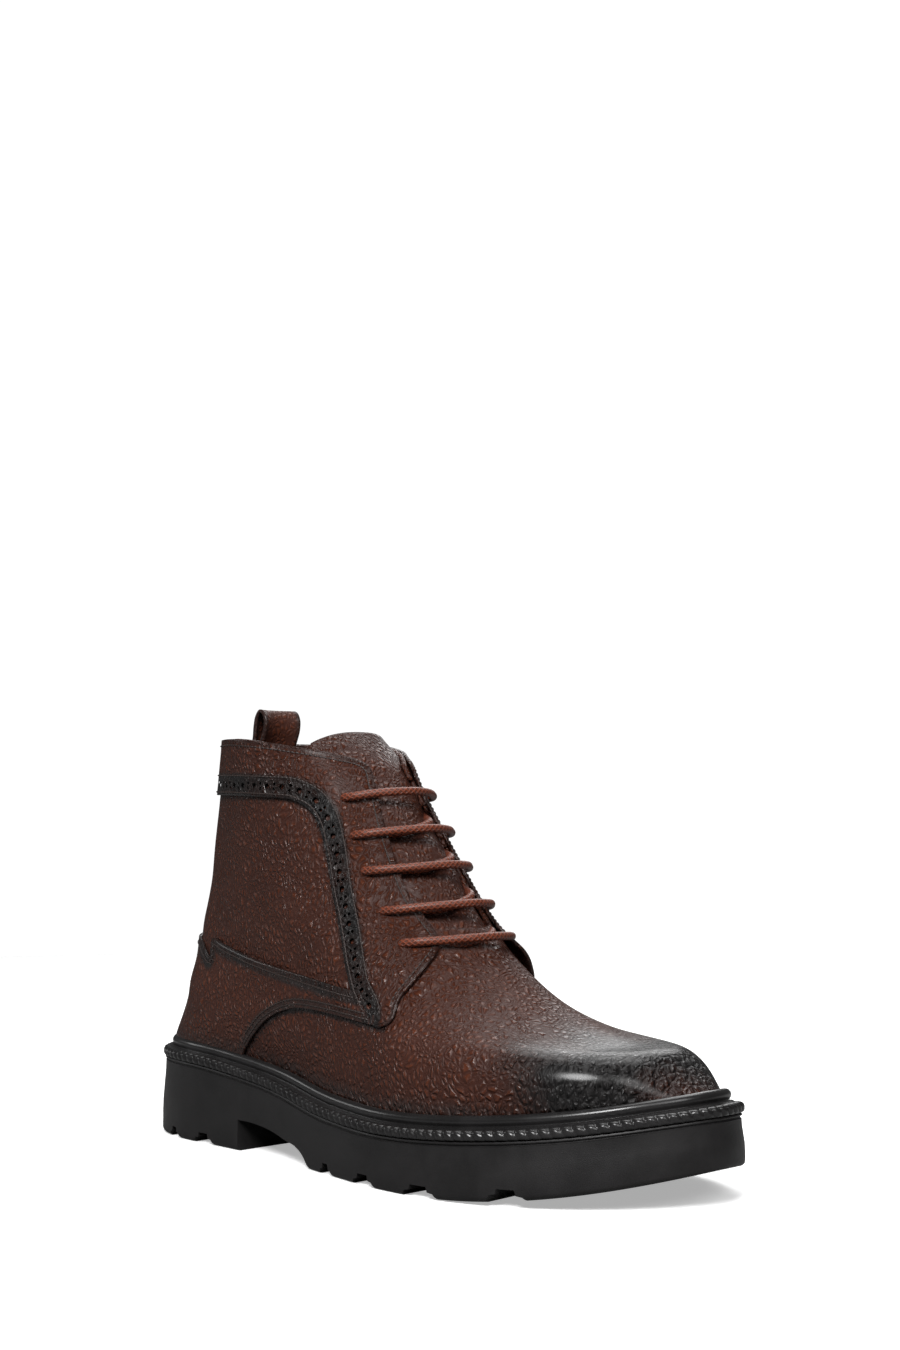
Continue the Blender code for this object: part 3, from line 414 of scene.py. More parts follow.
def skin(level, turn):
    """Outer surface of the upper: level 0 at the bead and 1 at the collar, turn 0 at the heel."""
    level, turn = np.broadcast_arrays(np.asarray(level, float), np.asarray(turn, float))
    turn = turn % (2 * np.pi)
    rows = np.asarray(SECTIONS)
    knots = np.arange(len(rows) + 1)
    below = np.minimum(level, 0.0)
    q = np.clip(level, 0, 1) * len(rows)
    fine = np.linspace(0, 2 * np.pi, 721)
    foot = outline(fine, welt_width(share_of(fine)))
    x0 = np.interp(turn, fine, foot[:, 0])
    y0 = np.interp(turn, fine, foot[:, 1])
    z0 = bead_top(x0)
    ends = []
    for k, scale in ((0, sizes().upper_length), (1, sizes().collar_height)):
        for entry, spot in ((k, 0), (k + 2, 360)):
            first = foot[spot, 0] if k == 0 else float(bead_top(foot[spot, 0]))
            values = np.concatenate([[first], rows[:, entry] * scale])
            ends.append((curve(np.column_stack([knots, values]), q), first))
    (bx, bx0), (fx, fx0), (bz, bz0), (fz, fz0) = ends
    half_turn = np.where(turn <= np.pi, turn, 2 * np.pi - turn)
    t = (1 - np.cos(half_turn)) / 2
    fade = np.clip(1 - q / SAG_REACH, 0, 1) ** 1.6
    x = bx + (fx - bx) * t + (x0 - (bx0 + (fx0 - bx0) * t)) * fade
    z = bz + (fz - bz) * t + (z0 - (bz0 + (fz0 - bz0) * t)) * fade
    z = z + curve(COLLAR_LINE, t) * sizes().collar_height * np.clip((q - 6) / 3, 0, 1) ** 1.5
    angles = np.radians(STATIONS)
    widths = [np.abs(y0 - midline(x0))]
    for row in rows:
        values = np.concatenate([[0], row[4:], [0]]) * sizes().ball_width
        widths.append(mirrored(angles, values, half_turn))
    widths = np.stack(widths)
    steps = np.diff(widths, axis=0)
    slope = np.concatenate([steps[:1], (steps[:-1] + steps[1:]) / 2, steps[-1:]])
    i = np.clip(np.floor(q).astype(int), 0, len(rows) - 1)
    u = q - i
    w0, w1 = (np.take_along_axis(widths, i[None] + k, 0)[0] for k in (0, 1))
    s0, s1 = (np.take_along_axis(slope, i[None] + k, 0)[0] for k in (0, 1))
    half = (2 * u**3 - 3 * u**2 + 1) * w0 + (-2 * u**3 + 3 * u**2) * w1
    half = half + (u**3 - 2 * u**2 + u) * s0 + (u**3 - u**2) * s1
    lean = np.clip(1 - level / LEAN_REACH, 0, 1)
    side = np.where(turn <= np.pi, -1.0, 1.0)
    point = np.stack([x, midline(x) * lean + side * half, z], -1)
    point[..., 2] += below * 0.9
    return point


def skin_normal(level, turn):
    h = 0.006
    lo = np.clip(np.asarray(level, float) - h, 0, 1)
    hi = np.clip(np.asarray(level, float) + h, 0, 1)
    around = skin(level, turn + h) - skin(level, turn - h)
    normal = np.cross(around, skin(hi, turn) - skin(lo, turn))
    return unit(normal)


def crease_height(level, turn):
    """Soft troughs and ridges laid one by one, with the leather's slow unevenness."""
    turn = np.asarray(turn) % (2 * np.pi)
    total = np.zeros(np.broadcast(level, turn).shape)
    for at_level, at_turn, reach_level, reach_turn, tilt, height in CREASES:
        dt = np.degrees(turn) - at_turn
        dl = level - at_level - tilt * np.radians(dt)
        total = total + height * np.exp(-(dl / reach_level) ** 2 - (dt / reach_turn) ** 2)
    x = np.degrees(turn)
    total = total + 0.00022 * np.sin(x * 0.115 + 3.1 * level) * np.sin(level * 21.0 + x * 0.031)
    total = total + 0.00016 * np.sin(x * 0.21 + 1.3) * np.sin(level * 33.0 - x * 0.07)
    return total * smooth(0.0, 0.12, np.asarray(level)) * (1 - smooth(0.93, 1.0, np.asarray(level)))


def body(level, turn, lift=0.0):
    """Point on the creased skin, lifted along its normal."""
    away = np.asarray(lift) + crease_height(level, turn)
    return skin(level, turn) + skin_normal(level, turn) * away[..., None]


def burnish_of(points):
    """Dark toning by place at the toe and heel back, and darker towards the bead along the feather
    line.
    """
    x, y, z = points[:, 0], points[:, 1], points[:, 2]
    wave = 0.004 * np.sin(y * 190 + 1.0) + 0.003 * np.sin(z * 260 + y * 120)
    toe = smooth(0.070, 0.118, x + wave + 0.04 * np.abs(y - 0.006))
    warm_tip = smooth(0.128, 0.142, x) * 0.35
    heel = (1 - smooth(-0.140, -0.112, x + 0.2 * (z - 0.10) + wave)) * 0.35
    # Darker towards the bead along the foot of the upper
    base = (1 - smooth(0.001, 0.009, z - bead_top(x))) * 0.55
    return np.clip(np.maximum.reduce([toe - warm_tip, heel, base]), 0, 1)


# Mesh making
def deselect():
    for item in list(bpy.context.selected_objects):
        item.select_set(False)


def make_active(item):
    deselect()
    item.select_set(True)
    bpy.context.view_layer.objects.active = item


def join(items):
    deselect()
    for item in items:
        item.select_set(True)
    bpy.context.view_layer.objects.active = items[0]
    if len(items) > 1:
        bpy.ops.object.join()
    return items[0]


def edit_all(item, *steps):
    """Runs mesh tools on the whole of one piece."""
    make_active(item)
    bpy.ops.object.mode_set(mode="EDIT")
    bpy.ops.mesh.select_all(action="SELECT")
    for step in steps:
        step()
    bpy.ops.object.mode_set(mode="OBJECT")


def turn_outwards():
    bpy.ops.mesh.normals_make_consistent(inside=False)


def add_values(mesh, name, values):
    layer = mesh.attributes.new(name, "FLOAT", "POINT")
    layer.data.foreach_set("value", np.ascontiguousarray(values, dtype=np.float32))


def laid_grid(name, across, along, place, uv=None, values=None, merge=0.0):
    """Grid primitive whose points are laid by a function of their shares u and v."""
    deselect()
    bpy.ops.mesh.primitive_grid_add(x_subdivisions=across, y_subdivisions=along, size=1.0)
    item = bpy.context.active_object
    item.name = name
    mesh = item.data
    mesh.name = name
    co = np.empty(len(mesh.vertices) * 3)
    mesh.vertices.foreach_get("co", co)
    u = np.round((co[0::3] + 0.5) * across) / across
    v = np.round((co[1::3] + 0.5) * along) / along
    points = place(u, v)
    mesh.vertices.foreach_set("co", np.ascontiguousarray(points).ravel())
    if uv is not None:
        corner = np.empty(len(mesh.loops), dtype=np.int32)
        mesh.loops.foreach_get("vertex_index", corner)
        flat = np.column_stack(uv(u, v))[corner]
        mesh.uv_layers.active.data.foreach_set("uv", np.ascontiguousarray(flat).ravel())
    for key, make in (values or {}).items():
        add_values(mesh, key, make(points, u, v))
    mesh.update()
    if merge:
        edit_all(item, lambda: bpy.ops.mesh.remove_doubles(threshold=merge), turn_outwards)
    bpy.ops.object.shade_smooth()
    return item


def apply(item, kind, **settings):
    make_active(item)
    change = item.modifiers.new(kind.lower(), kind)
    for key, value in settings.items():
        setattr(change, key, value)
    bpy.ops.object.modifier_apply(modifier=change.name)


def thicken(item, thickness, offset, inner=0, rim=0):
    apply(
        item, "SOLIDIFY", thickness=thickness, offset=offset, use_even_offset=False,
        use_quality_normals=True, material_offset=inner, material_offset_rim=rim,
    )


def finish_piece(item, nodes, materials=()):
    for look in materials:
        item.data.materials.append(look)
    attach(item, "root")
    if nodes:
        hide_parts(*nodes)
    return item


def face_off_skin(item):
    """Turns a sheet laid along the skin so that its faces look out of the boot."""
    total = 0.0
    for face in list(item.data.polygons)[::37]:
        middle = float(midline(face.center.x))
        total += face.normal.y * (face.center.y - middle) * face.area
    if total < 0:
        edit_all(item, bpy.ops.mesh.flip_normals)


def face_towards(item, direction):
    """Turns an open sheet so that its faces look along a direction on the whole."""
    total = Vector((0.0, 0.0, 0.0))
    for face in item.data.polygons:
        total += face.normal * face.area
    if total.dot(direction) < 0:
        edit_all(item, bpy.ops.mesh.flip_normals)


def sharpen(item, angle=35.0):
    make_active(item)
    bpy.ops.object.shade_smooth_by_angle(angle=math.radians(angle))


# Material making
class Board:
    """A node tree with short ways to lay maths and mixes."""

    def __init__(self, tree):
        self.tree = tree
        self.column = 0

    def node(self, kind, inputs=None, **settings):
        made = self.tree.nodes.new(kind)
        made.location = (self.column * 60, 0)
        self.column += 1
        for key, value in settings.items():
            setattr(made, key, value)
        for key, value in (inputs or {}).items():
            if isinstance(value, bpy.types.NodeSocket):
                self.tree.links.new(value, made.inputs[key])
            else:
                made.inputs[key].default_value = value
        return made

    def maths(self, operation, a, b=0.0, c=None):
        inputs = {0: a, 1: b} if c is None else {0: a, 1: b, 2: c}
        return self.node("ShaderNodeMath", inputs, operation=operation).outputs[0]

    def vector(self, operation, a, b=(0.0, 0.0, 0.0), scale=None):
        inputs = {0: a, 1: b}
        if scale is not None:
            inputs["Scale"] = scale
        return self.node("ShaderNodeVectorMath", inputs, operation=operation).outputs[0]

    def ramp(self, value, low, high, start=0.0, end=1.0):
        inputs = {"Value": value, "From Min": low, "From Max": high, "To Min": start, "To Max": end}
        made = self.node("ShaderNodeMapRange", inputs, interpolation_type="SMOOTHSTEP")
        return made.outputs["Result"]

    def mix(self, factor, a, b, blend="MIX"):
        made = self.node("ShaderNodeMix", data_type="RGBA", blend_type=blend)
        for spot, value in ((0, factor), (6, a), (7, b)):
            if isinstance(value, bpy.types.NodeSocket):
                self.tree.links.new(value, made.inputs[spot])
            elif spot:
                made.inputs[spot].default_value = (*value[:3], 1.0)
            else:
                made.inputs[spot].default_value = value
        return made.outputs[2]

    def value_of(self, name):
        return self.node("ShaderNodeAttribute", attribute_name=name).outputs["Fac"]

    def noise(self, vector, scale, detail=2.0, roughness=0.5):
        inputs = {"Vector": vector, "Scale": scale, "Detail": detail, "Roughness": roughness}
        return self.node("ShaderNodeTexNoise", inputs)


def new_group(name, inputs, outputs):
    tree = bpy.data.node_groups.new(name, "ShaderNodeTree")
    for label, kind, default in inputs:
        socket = tree.interface.new_socket(name=label, in_out="INPUT", socket_type=kind)
        if default is not None:
            socket.default_value = default
    for label, kind in outputs:
        tree.interface.new_socket(name=label, in_out="OUTPUT", socket_type=kind)
    return tree, Board(tree), tree.nodes.new("NodeGroupInput"), tree.nodes.new("NodeGroupOutput")


def pebble_group():
    """Tumbled grain: cells with sunk lines between them and finer wrinkles."""
    if "pebble_grain" in bpy.data.node_groups:
        return bpy.data.node_groups["pebble_grain"]
    tree, board, given, out = new_group(
        "pebble_grain",
        (("Place", "NodeSocketVector", None), ("Cells", "NodeSocketFloat", 520.0),
         ("Line Width", "NodeSocketFloat", 0.16), ("Seed", "NodeSocketFloat", 0.0)),
        (("Height", "NodeSocketFloat"), ("Lines", "NodeSocketFloat"),
         ("Mottle", "NodeSocketFloat")),
    )
    place = given.outputs["Place"]
    cells = given.outputs["Cells"]
    shift = board.node("ShaderNodeCombineXYZ", {0: given.outputs["Seed"]}).outputs[0]
    moved = board.vector("ADD", place, shift)
    warp = board.noise(moved, board.maths("MULTIPLY", cells, 0.34), 2.0).outputs["Color"]
    warp = board.vector("SUBTRACT", warp, (0.5, 0.5, 0.5))
    warp = board.vector("SCALE", warp, scale=board.maths("DIVIDE", 1.9, cells))
    slow = board.noise(moved, 55.0, 1.0).outputs["Color"]
    slow = board.vector("SCALE", board.vector("SUBTRACT", slow, (0.5, 0.5, 0.5)), scale=0.010)
    bent = board.vector("ADD", board.vector("ADD", moved, warp), slow)
    bent = board.vector("MULTIPLY", bent, (1.0, 1.0, 0.78))
    cell = board.node(
        "ShaderNodeTexVoronoi", {"Vector": bent, "Scale": cells}, feature="DISTANCE_TO_EDGE"
    ).outputs["Distance"]
    plateau = board.ramp(cell, 0.0, given.outputs["Line Width"])
    small = board.node(
        "ShaderNodeTexVoronoi",
        {"Vector": bent, "Scale": board.maths("MULTIPLY", cells, 2.3)},
        feature="DISTANCE_TO_EDGE",
    ).outputs["Distance"]
    fine = board.ramp(small, 0.0, 0.30)
    uneven = board.noise(moved, board.maths("MULTIPLY", cells, 0.5), 1.0, 0.5).outputs["Fac"]
    height = board.maths("MULTIPLY_ADD", plateau, 0.80, board.maths("MULTIPLY", fine, 0.08))
    height = board.maths("MULTIPLY_ADD", uneven, 0.16, height)
    mottle = board.noise(moved, 38.0, 3.0, 0.6).outputs["Fac"]
    tree.links.new(height, out.inputs["Height"])
    tree.links.new(board.maths("SUBTRACT", 1.0, plateau), out.inputs["Lines"])
    tree.links.new(mottle, out.inputs["Mottle"])
    return tree


def new_material(name):
    look = bpy.data.materials.new(name)
    look.use_nodes = True
    look.node_tree.nodes.clear()
    board = Board(look.node_tree)
    shader = board.node("ShaderNodeBsdfPrincipled")
    out = board.node("ShaderNodeOutputMaterial")
    look.node_tree.links.new(shader.outputs[0], out.inputs["Surface"])
    return look, board, shader


def feed(board, shader, **sockets):
    for key, value in sockets.items():
        label = key.replace("_", " ").title().replace("Ior", "IOR")
        if isinstance(value, bpy.types.NodeSocket):
            board.tree.links.new(value, shader.inputs[label])
        else:
            shader.inputs[label].default_value = value


def bump(board, height, strength, distance, below=None):
    inputs = {"Height": height, "Strength": strength, "Distance": distance}
    if below is not None:
        inputs["Normal"] = below
    return board.node("ShaderNodeBump", inputs).outputs["Normal"]


def leather_look(name, seed, gloss=0.27, depth=0.00080, tone=1.0, holes=False, tumbled=False):
    """Pebbled leather with dark toning and painted seam shade from its stored value, its sunk grain
    lines darkened partly by painted shade and, where asked, punched holes or tumbled folds.
    """
    look, board, shader = new_material(name)
    place = board.node("ShaderNodeTexCoord").outputs["Object"]
    grain = board.node("ShaderNodeGroup", node_tree=pebble_group())
    board.tree.links.new(place, grain.inputs["Place"])
    grain.inputs["Cells"].default_value = 1.0 / sizes().grain
    grain.inputs["Line Width"].default_value = 0.42
    grain.inputs["Seed"].default_value = seed
    lines, mottle = grain.outputs["Lines"], grain.outputs["Mottle"]
    # Stored darkness: burnish at toe, heel and strips, and on the upper also painted shade beside
    # the foxing and facing edges
    dark = board.value_of("burnish_and_shade")
    speckle = board.ramp(mottle, 0.30, 0.72, -0.16, 0.16)
    dark = board.maths("ADD", dark, board.maths("MULTIPLY", speckle, board.ramp(dark, 0.02, 0.3)))
    dark = board.node("ShaderNodeClamp", {"Value": dark}).outputs[0]
    base = tuple(c * tone for c in colours().leather)
    lighter = tuple(min(1.0, c * 1.28) for c in base)
    # Sunk grain lines are darkened in colour: partly the leather's own darker creases, partly
    # painted shade in the recesses
    crease_dye_and_shade = (base[0] * 0.30, base[1] * 0.22, base[2] * 0.22)
    tan = board.mix(board.ramp(mottle, 0.32, 0.70), base, lighter)
    tan = board.mix(board.maths("MULTIPLY", lines, 0.75), tan, crease_dye_and_shade)
    colour = board.mix(dark, tan, colours().burnish_and_shade)
    rough = board.ramp(lines, 0.0, 1.0, gloss, gloss + 0.32)
    rough = board.maths("ADD", rough, board.ramp(mottle, 0.3, 0.7, -0.05, 0.05))
    rough = board.maths("SUBTRACT", rough, board.maths("MULTIPLY", dark, 0.05))
    normal = bump(board, grain.outputs["Height"], 1.0, depth)
    if tumbled:
        normal = bump(board, tumbled_folds(board, place, dark), 1.0, 0.00075, normal)
    if holes:
        sunk = punched_pattern(board)
        feed(board, shader, alpha=board.ramp(sunk, 0.45, 0.60, 1.0, 0.0))
        normal = bump(board, board.maths("SUBTRACT", 1.0, sunk), 1.0, 0.0007, normal)
    feed(board, shader, base_color=colour, roughness=rough, normal=normal)
    feed(board, shader, coat_weight=board.ramp(dark, 0.0, 1.0, 0.04, 0.32))
    feed(board, shader, coat_roughness=0.20, specular_ior_level=0.25)
    return look


def tumbled_folds(board, place, dark):
    """Long slanting folds that the tumbled leather shows on the toned toe."""
    turned = board.node(
        "ShaderNodeMapping",
        {"Vector": place, "Rotation": (0.0, 0.75, 0.35), "Scale": (1.0, 0.55, 0.45)},
    ).outputs[0]
    cell = board.node(
        "ShaderNodeTexVoronoi", {"Vector": turned, "Scale": 330.0}, feature="DISTANCE_TO_EDGE"
    ).outputs["Distance"]
    return board.maths("MULTIPLY", board.ramp(cell, 0.0, 0.22), board.ramp(dark, 0.15, 0.75))


def punched_pattern(board):
    """Large holes in a row along the facing's edge with small pairs between them."""
    run = board.value_of("edge_run")
    away = board.value_of("edge_away")
    pitch = sizes().hole_pitch
    middle = board.maths("SUBTRACT", away, HOLE_LINE)

    def dots(shift, offset, radius):
        moved = board.maths("ADD", run, shift)
        wave = board.maths("SUBTRACT", board.maths("MODULO", moved, pitch), pitch / 2)
        side = board.maths("SUBTRACT", middle, offset)
        square = board.maths("MULTIPLY", side, side)
        far = board.maths("SQRT", board.maths("MULTIPLY_ADD", wave, wave, square))
        return board.ramp(far, radius * 0.72, radius * 1.08, 1.0, 0.0)

    total = dots(10 * pitch, 0.0, LARGE_HOLE)
    for offset in (-SMALL_HOLE_OFFSET, SMALL_HOLE_OFFSET):
        total = board.maths("MAXIMUM", total, dots(10.5 * pitch, offset, SMALL_HOLE))
    return total


def rubber_look(name, gloss, coat, grit=0.00012):
    look, board, shader = new_material(name)
    place = board.node("ShaderNodeTexCoord").outputs["Object"]
    fine = board.noise(place, 2600.0, 2.0, 0.6).outputs["Fac"]
    broad = board.noise(place, 60.0, 3.0, 0.55).outputs["Fac"]
    base = tuple(colours().rubber)
    colour = board.mix(board.ramp(broad, 0.3, 0.7), base, tuple(c * 1.5 for c in base))
    rough = board.ramp(broad, 0.3, 0.7, gloss - 0.04, gloss + 0.06)
    feed(board, shader, base_color=colour, roughness=rough, normal=bump(board, fine, 0.5, grit))
    feed(board, shader, coat_weight=coat, coat_roughness=0.2, specular_ior_level=0.25)
    return look


def plain_look(name, colour, roughness, grit=0.0, scale=900.0, sheen=0.0):
    look, board, shader = new_material(name)
    place = board.node("ShaderNodeTexCoord").outputs["Object"]
    fine = board.noise(place, scale, 3.0, 0.6).outputs["Fac"]
    shade = board.mix(fine, tuple(c * 0.75 for c in colour), tuple(min(1, c * 1.2) for c in colour))
    feed(board, shader, base_color=shade, roughness=roughness, sheen_weight=sheen)
    if grit:
        feed(board, shader, normal=bump(board, fine, 0.7, grit))
    return look


def lace_look():
    """Round braid: two sets of strands that cross, over a waxed core; the gaps between the strands
    are darker in colour, partly the braid's pattern and partly painted shade.
    """
    look, board, shader = new_material("lace_braid")
    split = board.node("ShaderNodeSeparateXYZ", {0: board.node("ShaderNodeUVMap").outputs[0]})
    around, along = split.outputs[0], split.outputs[1]
    strands = []
    for turn in (1.0, -1.0):
        rise = board.maths("MULTIPLY", along, 420.0)
        wave = board.maths("MULTIPLY_ADD", around, turn * 5.0, rise)
        strands.append(board.maths("SINE", board.maths("MULTIPLY", wave, 2 * math.pi)))
    over = board.ramp(board.maths("MAXIMUM", *strands), 0.0, 1.0)
    place = board.node("ShaderNodeTexCoord").outputs["Object"]
    fuzz = board.noise(place, 2400.0, 2.0).outputs["Fac"]
    base = tuple(colours().lace)
    # Darker between the strands: the braid's pattern, with painted shade in the gaps
    colour = board.mix(over, tuple(c * 0.42 for c in base), tuple(min(1, c * 1.35) for c in base))
    worn = board.ramp(fuzz, 0.35, 0.75, 0.0, 0.35)
    colour = board.mix(worn, colour, tuple(c * 0.7 for c in base))
    height = board.maths("MULTIPLY_ADD", fuzz, 0.25, over)
    feed(board, shader, base_color=colour, roughness=0.50, normal=bump(board, height, 0.9, 0.00035))
    feed(board, shader, coat_weight=0.12, coat_roughness=0.35)
    return look


# Bands cut along the skin
def band_place(rows, s, v, side):
    """Level and turn on a band between its two edges, s along its rows and v across."""
    table = np.array(rows, float)
    table[:, [0, 2]] = np.radians(table[:, [0, 2]])
    knots = np.arange(len(rows))
    low_turn, low_level, high_turn, high_level = (
        curve(np.column_stack([knots, table[:, k]]), s) for k in range(4)
    )
    turn = low_turn + (high_turn - low_turn) * v
    level = low_level + (high_level - low_level) * v
    return level, np.where(side > 0, 2 * np.pi - turn, turn)


def facing_at(u, v):
    """Facing band: u runs from the outer tip round the back to the inner tip."""
    last = len(FACING_ROWS) - 1
    side = np.where(u > 0.5, 1, -1)
    s = last * (1 - np.abs(2 * u - 1))
    level, turn = band_place(FACING_ROWS, s, v, side)
    lift = np.zeros_like(s)
    for row, reach, sharp, inner, outer in FACING_LIFTS:
        near = np.exp(-((s - row) / reach) ** 2) * v**sharp
        lift = lift + near * np.where(side > 0, inner, outer)
    return level, turn, lift


def foxing_at(u, v):
    """Heel foxing: u runs from the outer seam round the back to the inner seam."""
    last = len(FOXING_ROWS) - 1
    side = np.where(u > 0.5, 1, -1)
    s = last * np.abs(2 * u - 1)
    level, turn = band_place(FOXING_ROWS, s, v, side)
    return level, turn, np.zeros_like(u)


def edge_line(at, v, count=900):
    """Line along a band at one share v of its width, with the run along it."""
    u = np.linspace(0, 1, count)
    level, turn, lift = at(u, np.full(count, float(v)))
    points = body(level, turn, lift)
    return points, run_along(points)


def nearest(points, line, run):
    """Distance to a line and the run along it, worked in slices."""
    away = np.empty(len(points))
    along = np.empty(len(points))
    for start in range(0, len(points), 2000):
        part = points[start:start + 2000]
        gap = np.linalg.norm(part[:, None] - line[None], axis=2)
        pick = gap.argmin(1)
        away[start:start + 2000] = gap[np.arange(len(part)), pick]
        along[start:start + 2000] = run[pick]
    return away, along


def band_piece(name, at, across, along, strips):
    """Overlay on the skin: listed dark strips, lower edge's run and distance as values."""
    low_edge, high_edge = edge_line(at, 0.0), edge_line(at, 1.0)
    known = {}

    def place(u, v):
        level, turn, lift = at(u, v)
        points = body(level, turn, lift + OVERLAY_GAP)
        known["edge_away"], known["edge_run"] = nearest(points, *low_edge)
        known["burnish_and_shade"] = burnish_of(points)
        distances = (known["edge_away"], nearest(points, *high_edge)[0])
        for (amount, start, end), away in zip(strips, distances):
            strip = amount * (1 - smooth(start, end, away))
            known["burnish_and_shade"] = np.maximum(known["burnish_and_shade"], strip)
        return points

    values = {
        key: lambda points, u, v, key=key: known[key]
        for key in ("edge_away", "edge_run", "burnish_and_shade")
    }
    item = laid_grid(name, along, across, place, values=values)
    face_off_skin(item)
    thicken(item, sizes().overlay, 1.0, 0, 1)
    return item


def seam_path(at, edge_v, distance, u_low, u_high, count=700):
    """Places at one distance from a band's edge: points and normals."""
    line, run = edge_line(at, edge_v, 1200)
    u = np.linspace(u_low, u_high, count)
    v = np.linspace(0, 1, 81) ** 1.5
    if edge_v > 0.5:
        v = 1 - v
    uu, vv = np.meshgrid(u, v, indexing="ij")
    level, turn, lift = at(uu.ravel(), vv.ravel())
    points = body(level, turn, lift)
    away, _ = nearest(points, line, run)
    away = np.maximum.accumulate(away.reshape(count, 81), axis=1)
    pick = np.array([np.interp(distance, row, v) for row in away])
    reach = away[:, -1] > distance
    level, turn, lift = at(u[reach], pick[reach])
    return body(level, turn, lift), skin_normal(level, turn)


def thread(name, paths, height, look, slot):
    """Rows of stitches: one tube that dips under the leather at every hole."""
    pitch = sizes().stitch_pitch
    made = []
    for number, (points, normals) in enumerate(paths):
        run = run_along(points)
        count = max(8, int(run[-1] / pitch) * 6)
        at = np.linspace(0, run[-1], count)
        line = points_at(at, run, points)
        up = unit(points_at(at, run, normals))
        arch = np.abs(np.sin(np.pi * at / pitch)) ** 0.5
        line = line + up * (height + (arch - THREAD_ARCH) * THREAD_DIP)[:, None]
        along = unit(np.gradient(line, axis=0))
        side = unit(np.cross(along, up))

        def place(u, v, line=line, up=up, side=side, count=count):
            i = np.clip(np.round(v * (count - 1)).astype(int), 0, count - 1)
            angle = u * 2 * np.pi
            return line[i] + THREAD_RADIUS * (
                side[i] * np.cos(angle)[:, None] * 1.15 + up[i] * np.sin(angle)[:, None]
            )

        made.append(laid_grid("%s_%d" % (name, number), 6, count - 1, place, merge=0.00001))
    item = join(made)
    item.name = name
    return finish_piece(item, (), (look,))


# Pieces
class BOOT_OT_outsole(bpy.types.Operator):
    """Rubber outsole with heel, arch, toe spring and lugs"""
    bl_idname = "boot.outsole"
    bl_label = "Outsole"

    def execute(self, context):
        profile = []
        for pull in np.linspace(0.0, 1.0, 9):
            profile.append((TREAD_INSET, "low", 0.0, pull))
        for angle in np.linspace(0, math.pi / 2, 6):
            inset, rise = (TREAD_ROUND * (1 - f(angle)) for f in (math.sin, math.cos))
            profile.append((inset, "low", rise, 1.0))
        for share in (0.25, 0.45, 0.65, 0.85):
            profile.append((WALL_INSET * smooth(0.3, 1.0, share), "side", share, 1.0))
        profile += [(inset, "top", drop, 1.0) for inset, drop in UPPER_EDGE]
        profile += [(UPPER_EDGE[-1][0], "top", 0.0, pull) for pull in (0.8, 0.4, 0.0)]

        def place(u, v):
            turn = u * 2 * np.pi
            k = np.clip(np.round(v * (len(profile) - 1)).astype(int), 0, len(profile) - 1)
            inset, kind, value, pull = columns(profile, k)
            x, y = pulled(turn, inset, pull)
            share = share_of(turn)
            low, top = underside(share), top_edge(share)
            wall = top - WALL_TOP - low - TREAD_ROUND
            z = np.where(kind == "low", low + value, top + value)
            z = np.where(kind == "side", low + TREAD_ROUND + wall * value, z)
            return np.stack([x, y, z], -1)

        item = laid_grid("outsole_rubber", 480, len(profile) - 1, place, merge=0.00002)
        edit_all(item, turn_outwards)
        self.cut(item, self.arch())
        for start, end in NOTCHES:
            self.cut(item, self.notch(start, end))
        for start, end in GROOVES:
            self.cut(item, self.groove(start, end))
        sharpen(item, 30.0)
        look = rubber_look("sole_rubber_satin", 0.46, 0.05)
        finish_piece(item, ("outsole",), (look,))
        return {"FINISHED"}

    def cut(self, item, cutter):
        """Takes a block out of the sole."""
        edit_all(cutter, turn_outwards)
        apply(item, "BOOLEAN", operation="DIFFERENCE", solver="EXACT", object=cutter)
        bpy.data.objects.remove(cutter, do_unlink=True)

    def swept(self, outline_xz, low, high):
        """Block with a side outline, from a grid laid over its rim and closed by its two ends."""
        points = np.asarray(outline_xz)
        count = len(points)

        def place(u, v):
            i = np.round(u * count).astype(int) % count
            return np.stack([points[i, 0], low + (high - low) * v, points[i, 1]], -1)

        block = laid_grid("cutter", count, 1, place, merge=0.00001)
        make_active(block)
        bpy.ops.object.mode_set(mode="EDIT")
        bpy.ops.mesh.select_all(action="DESELECT")
        bpy.ops.mesh.select_non_manifold()
        bpy.ops.mesh.fill_holes(sides=0)
        bpy.ops.object.mode_set(mode="OBJECT")
        return block

    def arch(self):
        """Block that cuts the hollow between heel and forefoot."""
        fine = np.linspace(0, 1, 28)
        rise = curve(ARCH_LINE, fine) * ARCH_HEIGHT
        rows = [(ARCH_START, BELOW)]
        rows += [(ARCH_START + a * ARCH_LENGTH, b) for a, b in zip(fine, rise)]
        rows.append((ARCH_END, BELOW))
        return self.swept(rows, -BEYOND, BEYOND)

    def notch(self, start, end):
        """Pair of blocks that cut one notch into the outer and the inner side."""
        middle = (start + end) / 2 / sizes().sole_length + 0.5
        base = float(underside(middle))
        ease = (end - start) * 0.16
        steps = (
            (-0.0022, BELOW), (-0.0020, base + 0.0001), (-0.0004, base + 0.0022),
            (ease, base + 0.0026), (ease * 1.3, base + NOTCH_DEPTH),
        )
        shape = [(start + a, b) for a, b in steps] + [(end - a, b) for a, b in reversed(steps)]
        pair = []
        for entry, sign in ((1, -1), (2, 1)):
            edge = float(plan_half(middle, entry))
            centre = float(swing(middle))
            ends = sorted((centre + sign * (edge - NOTCH_REACH), centre + sign * 0.11))
            pair.append(self.swept(shape, *ends))
        return join(pair)

    def groove(self, start, end):
        """Block that cuts one centre groove along the tread."""
        middle = (start + end) / 2
        deselect()
        bpy.ops.mesh.primitive_cube_add(size=1.0)
        block = bpy.context.active_object
        for vert in block.data.vertices:
            x = middle + vert.co.x * (end - start)
            top = float(underside(x / sizes().sole_length + 0.5)) + GROOVE_DEPTH
            y = float(midline(x)) + vert.co.y * GROOVE_WIDTH
            vert.co = (x, y, top if vert.co.z > 0 else BELOW)
        return block


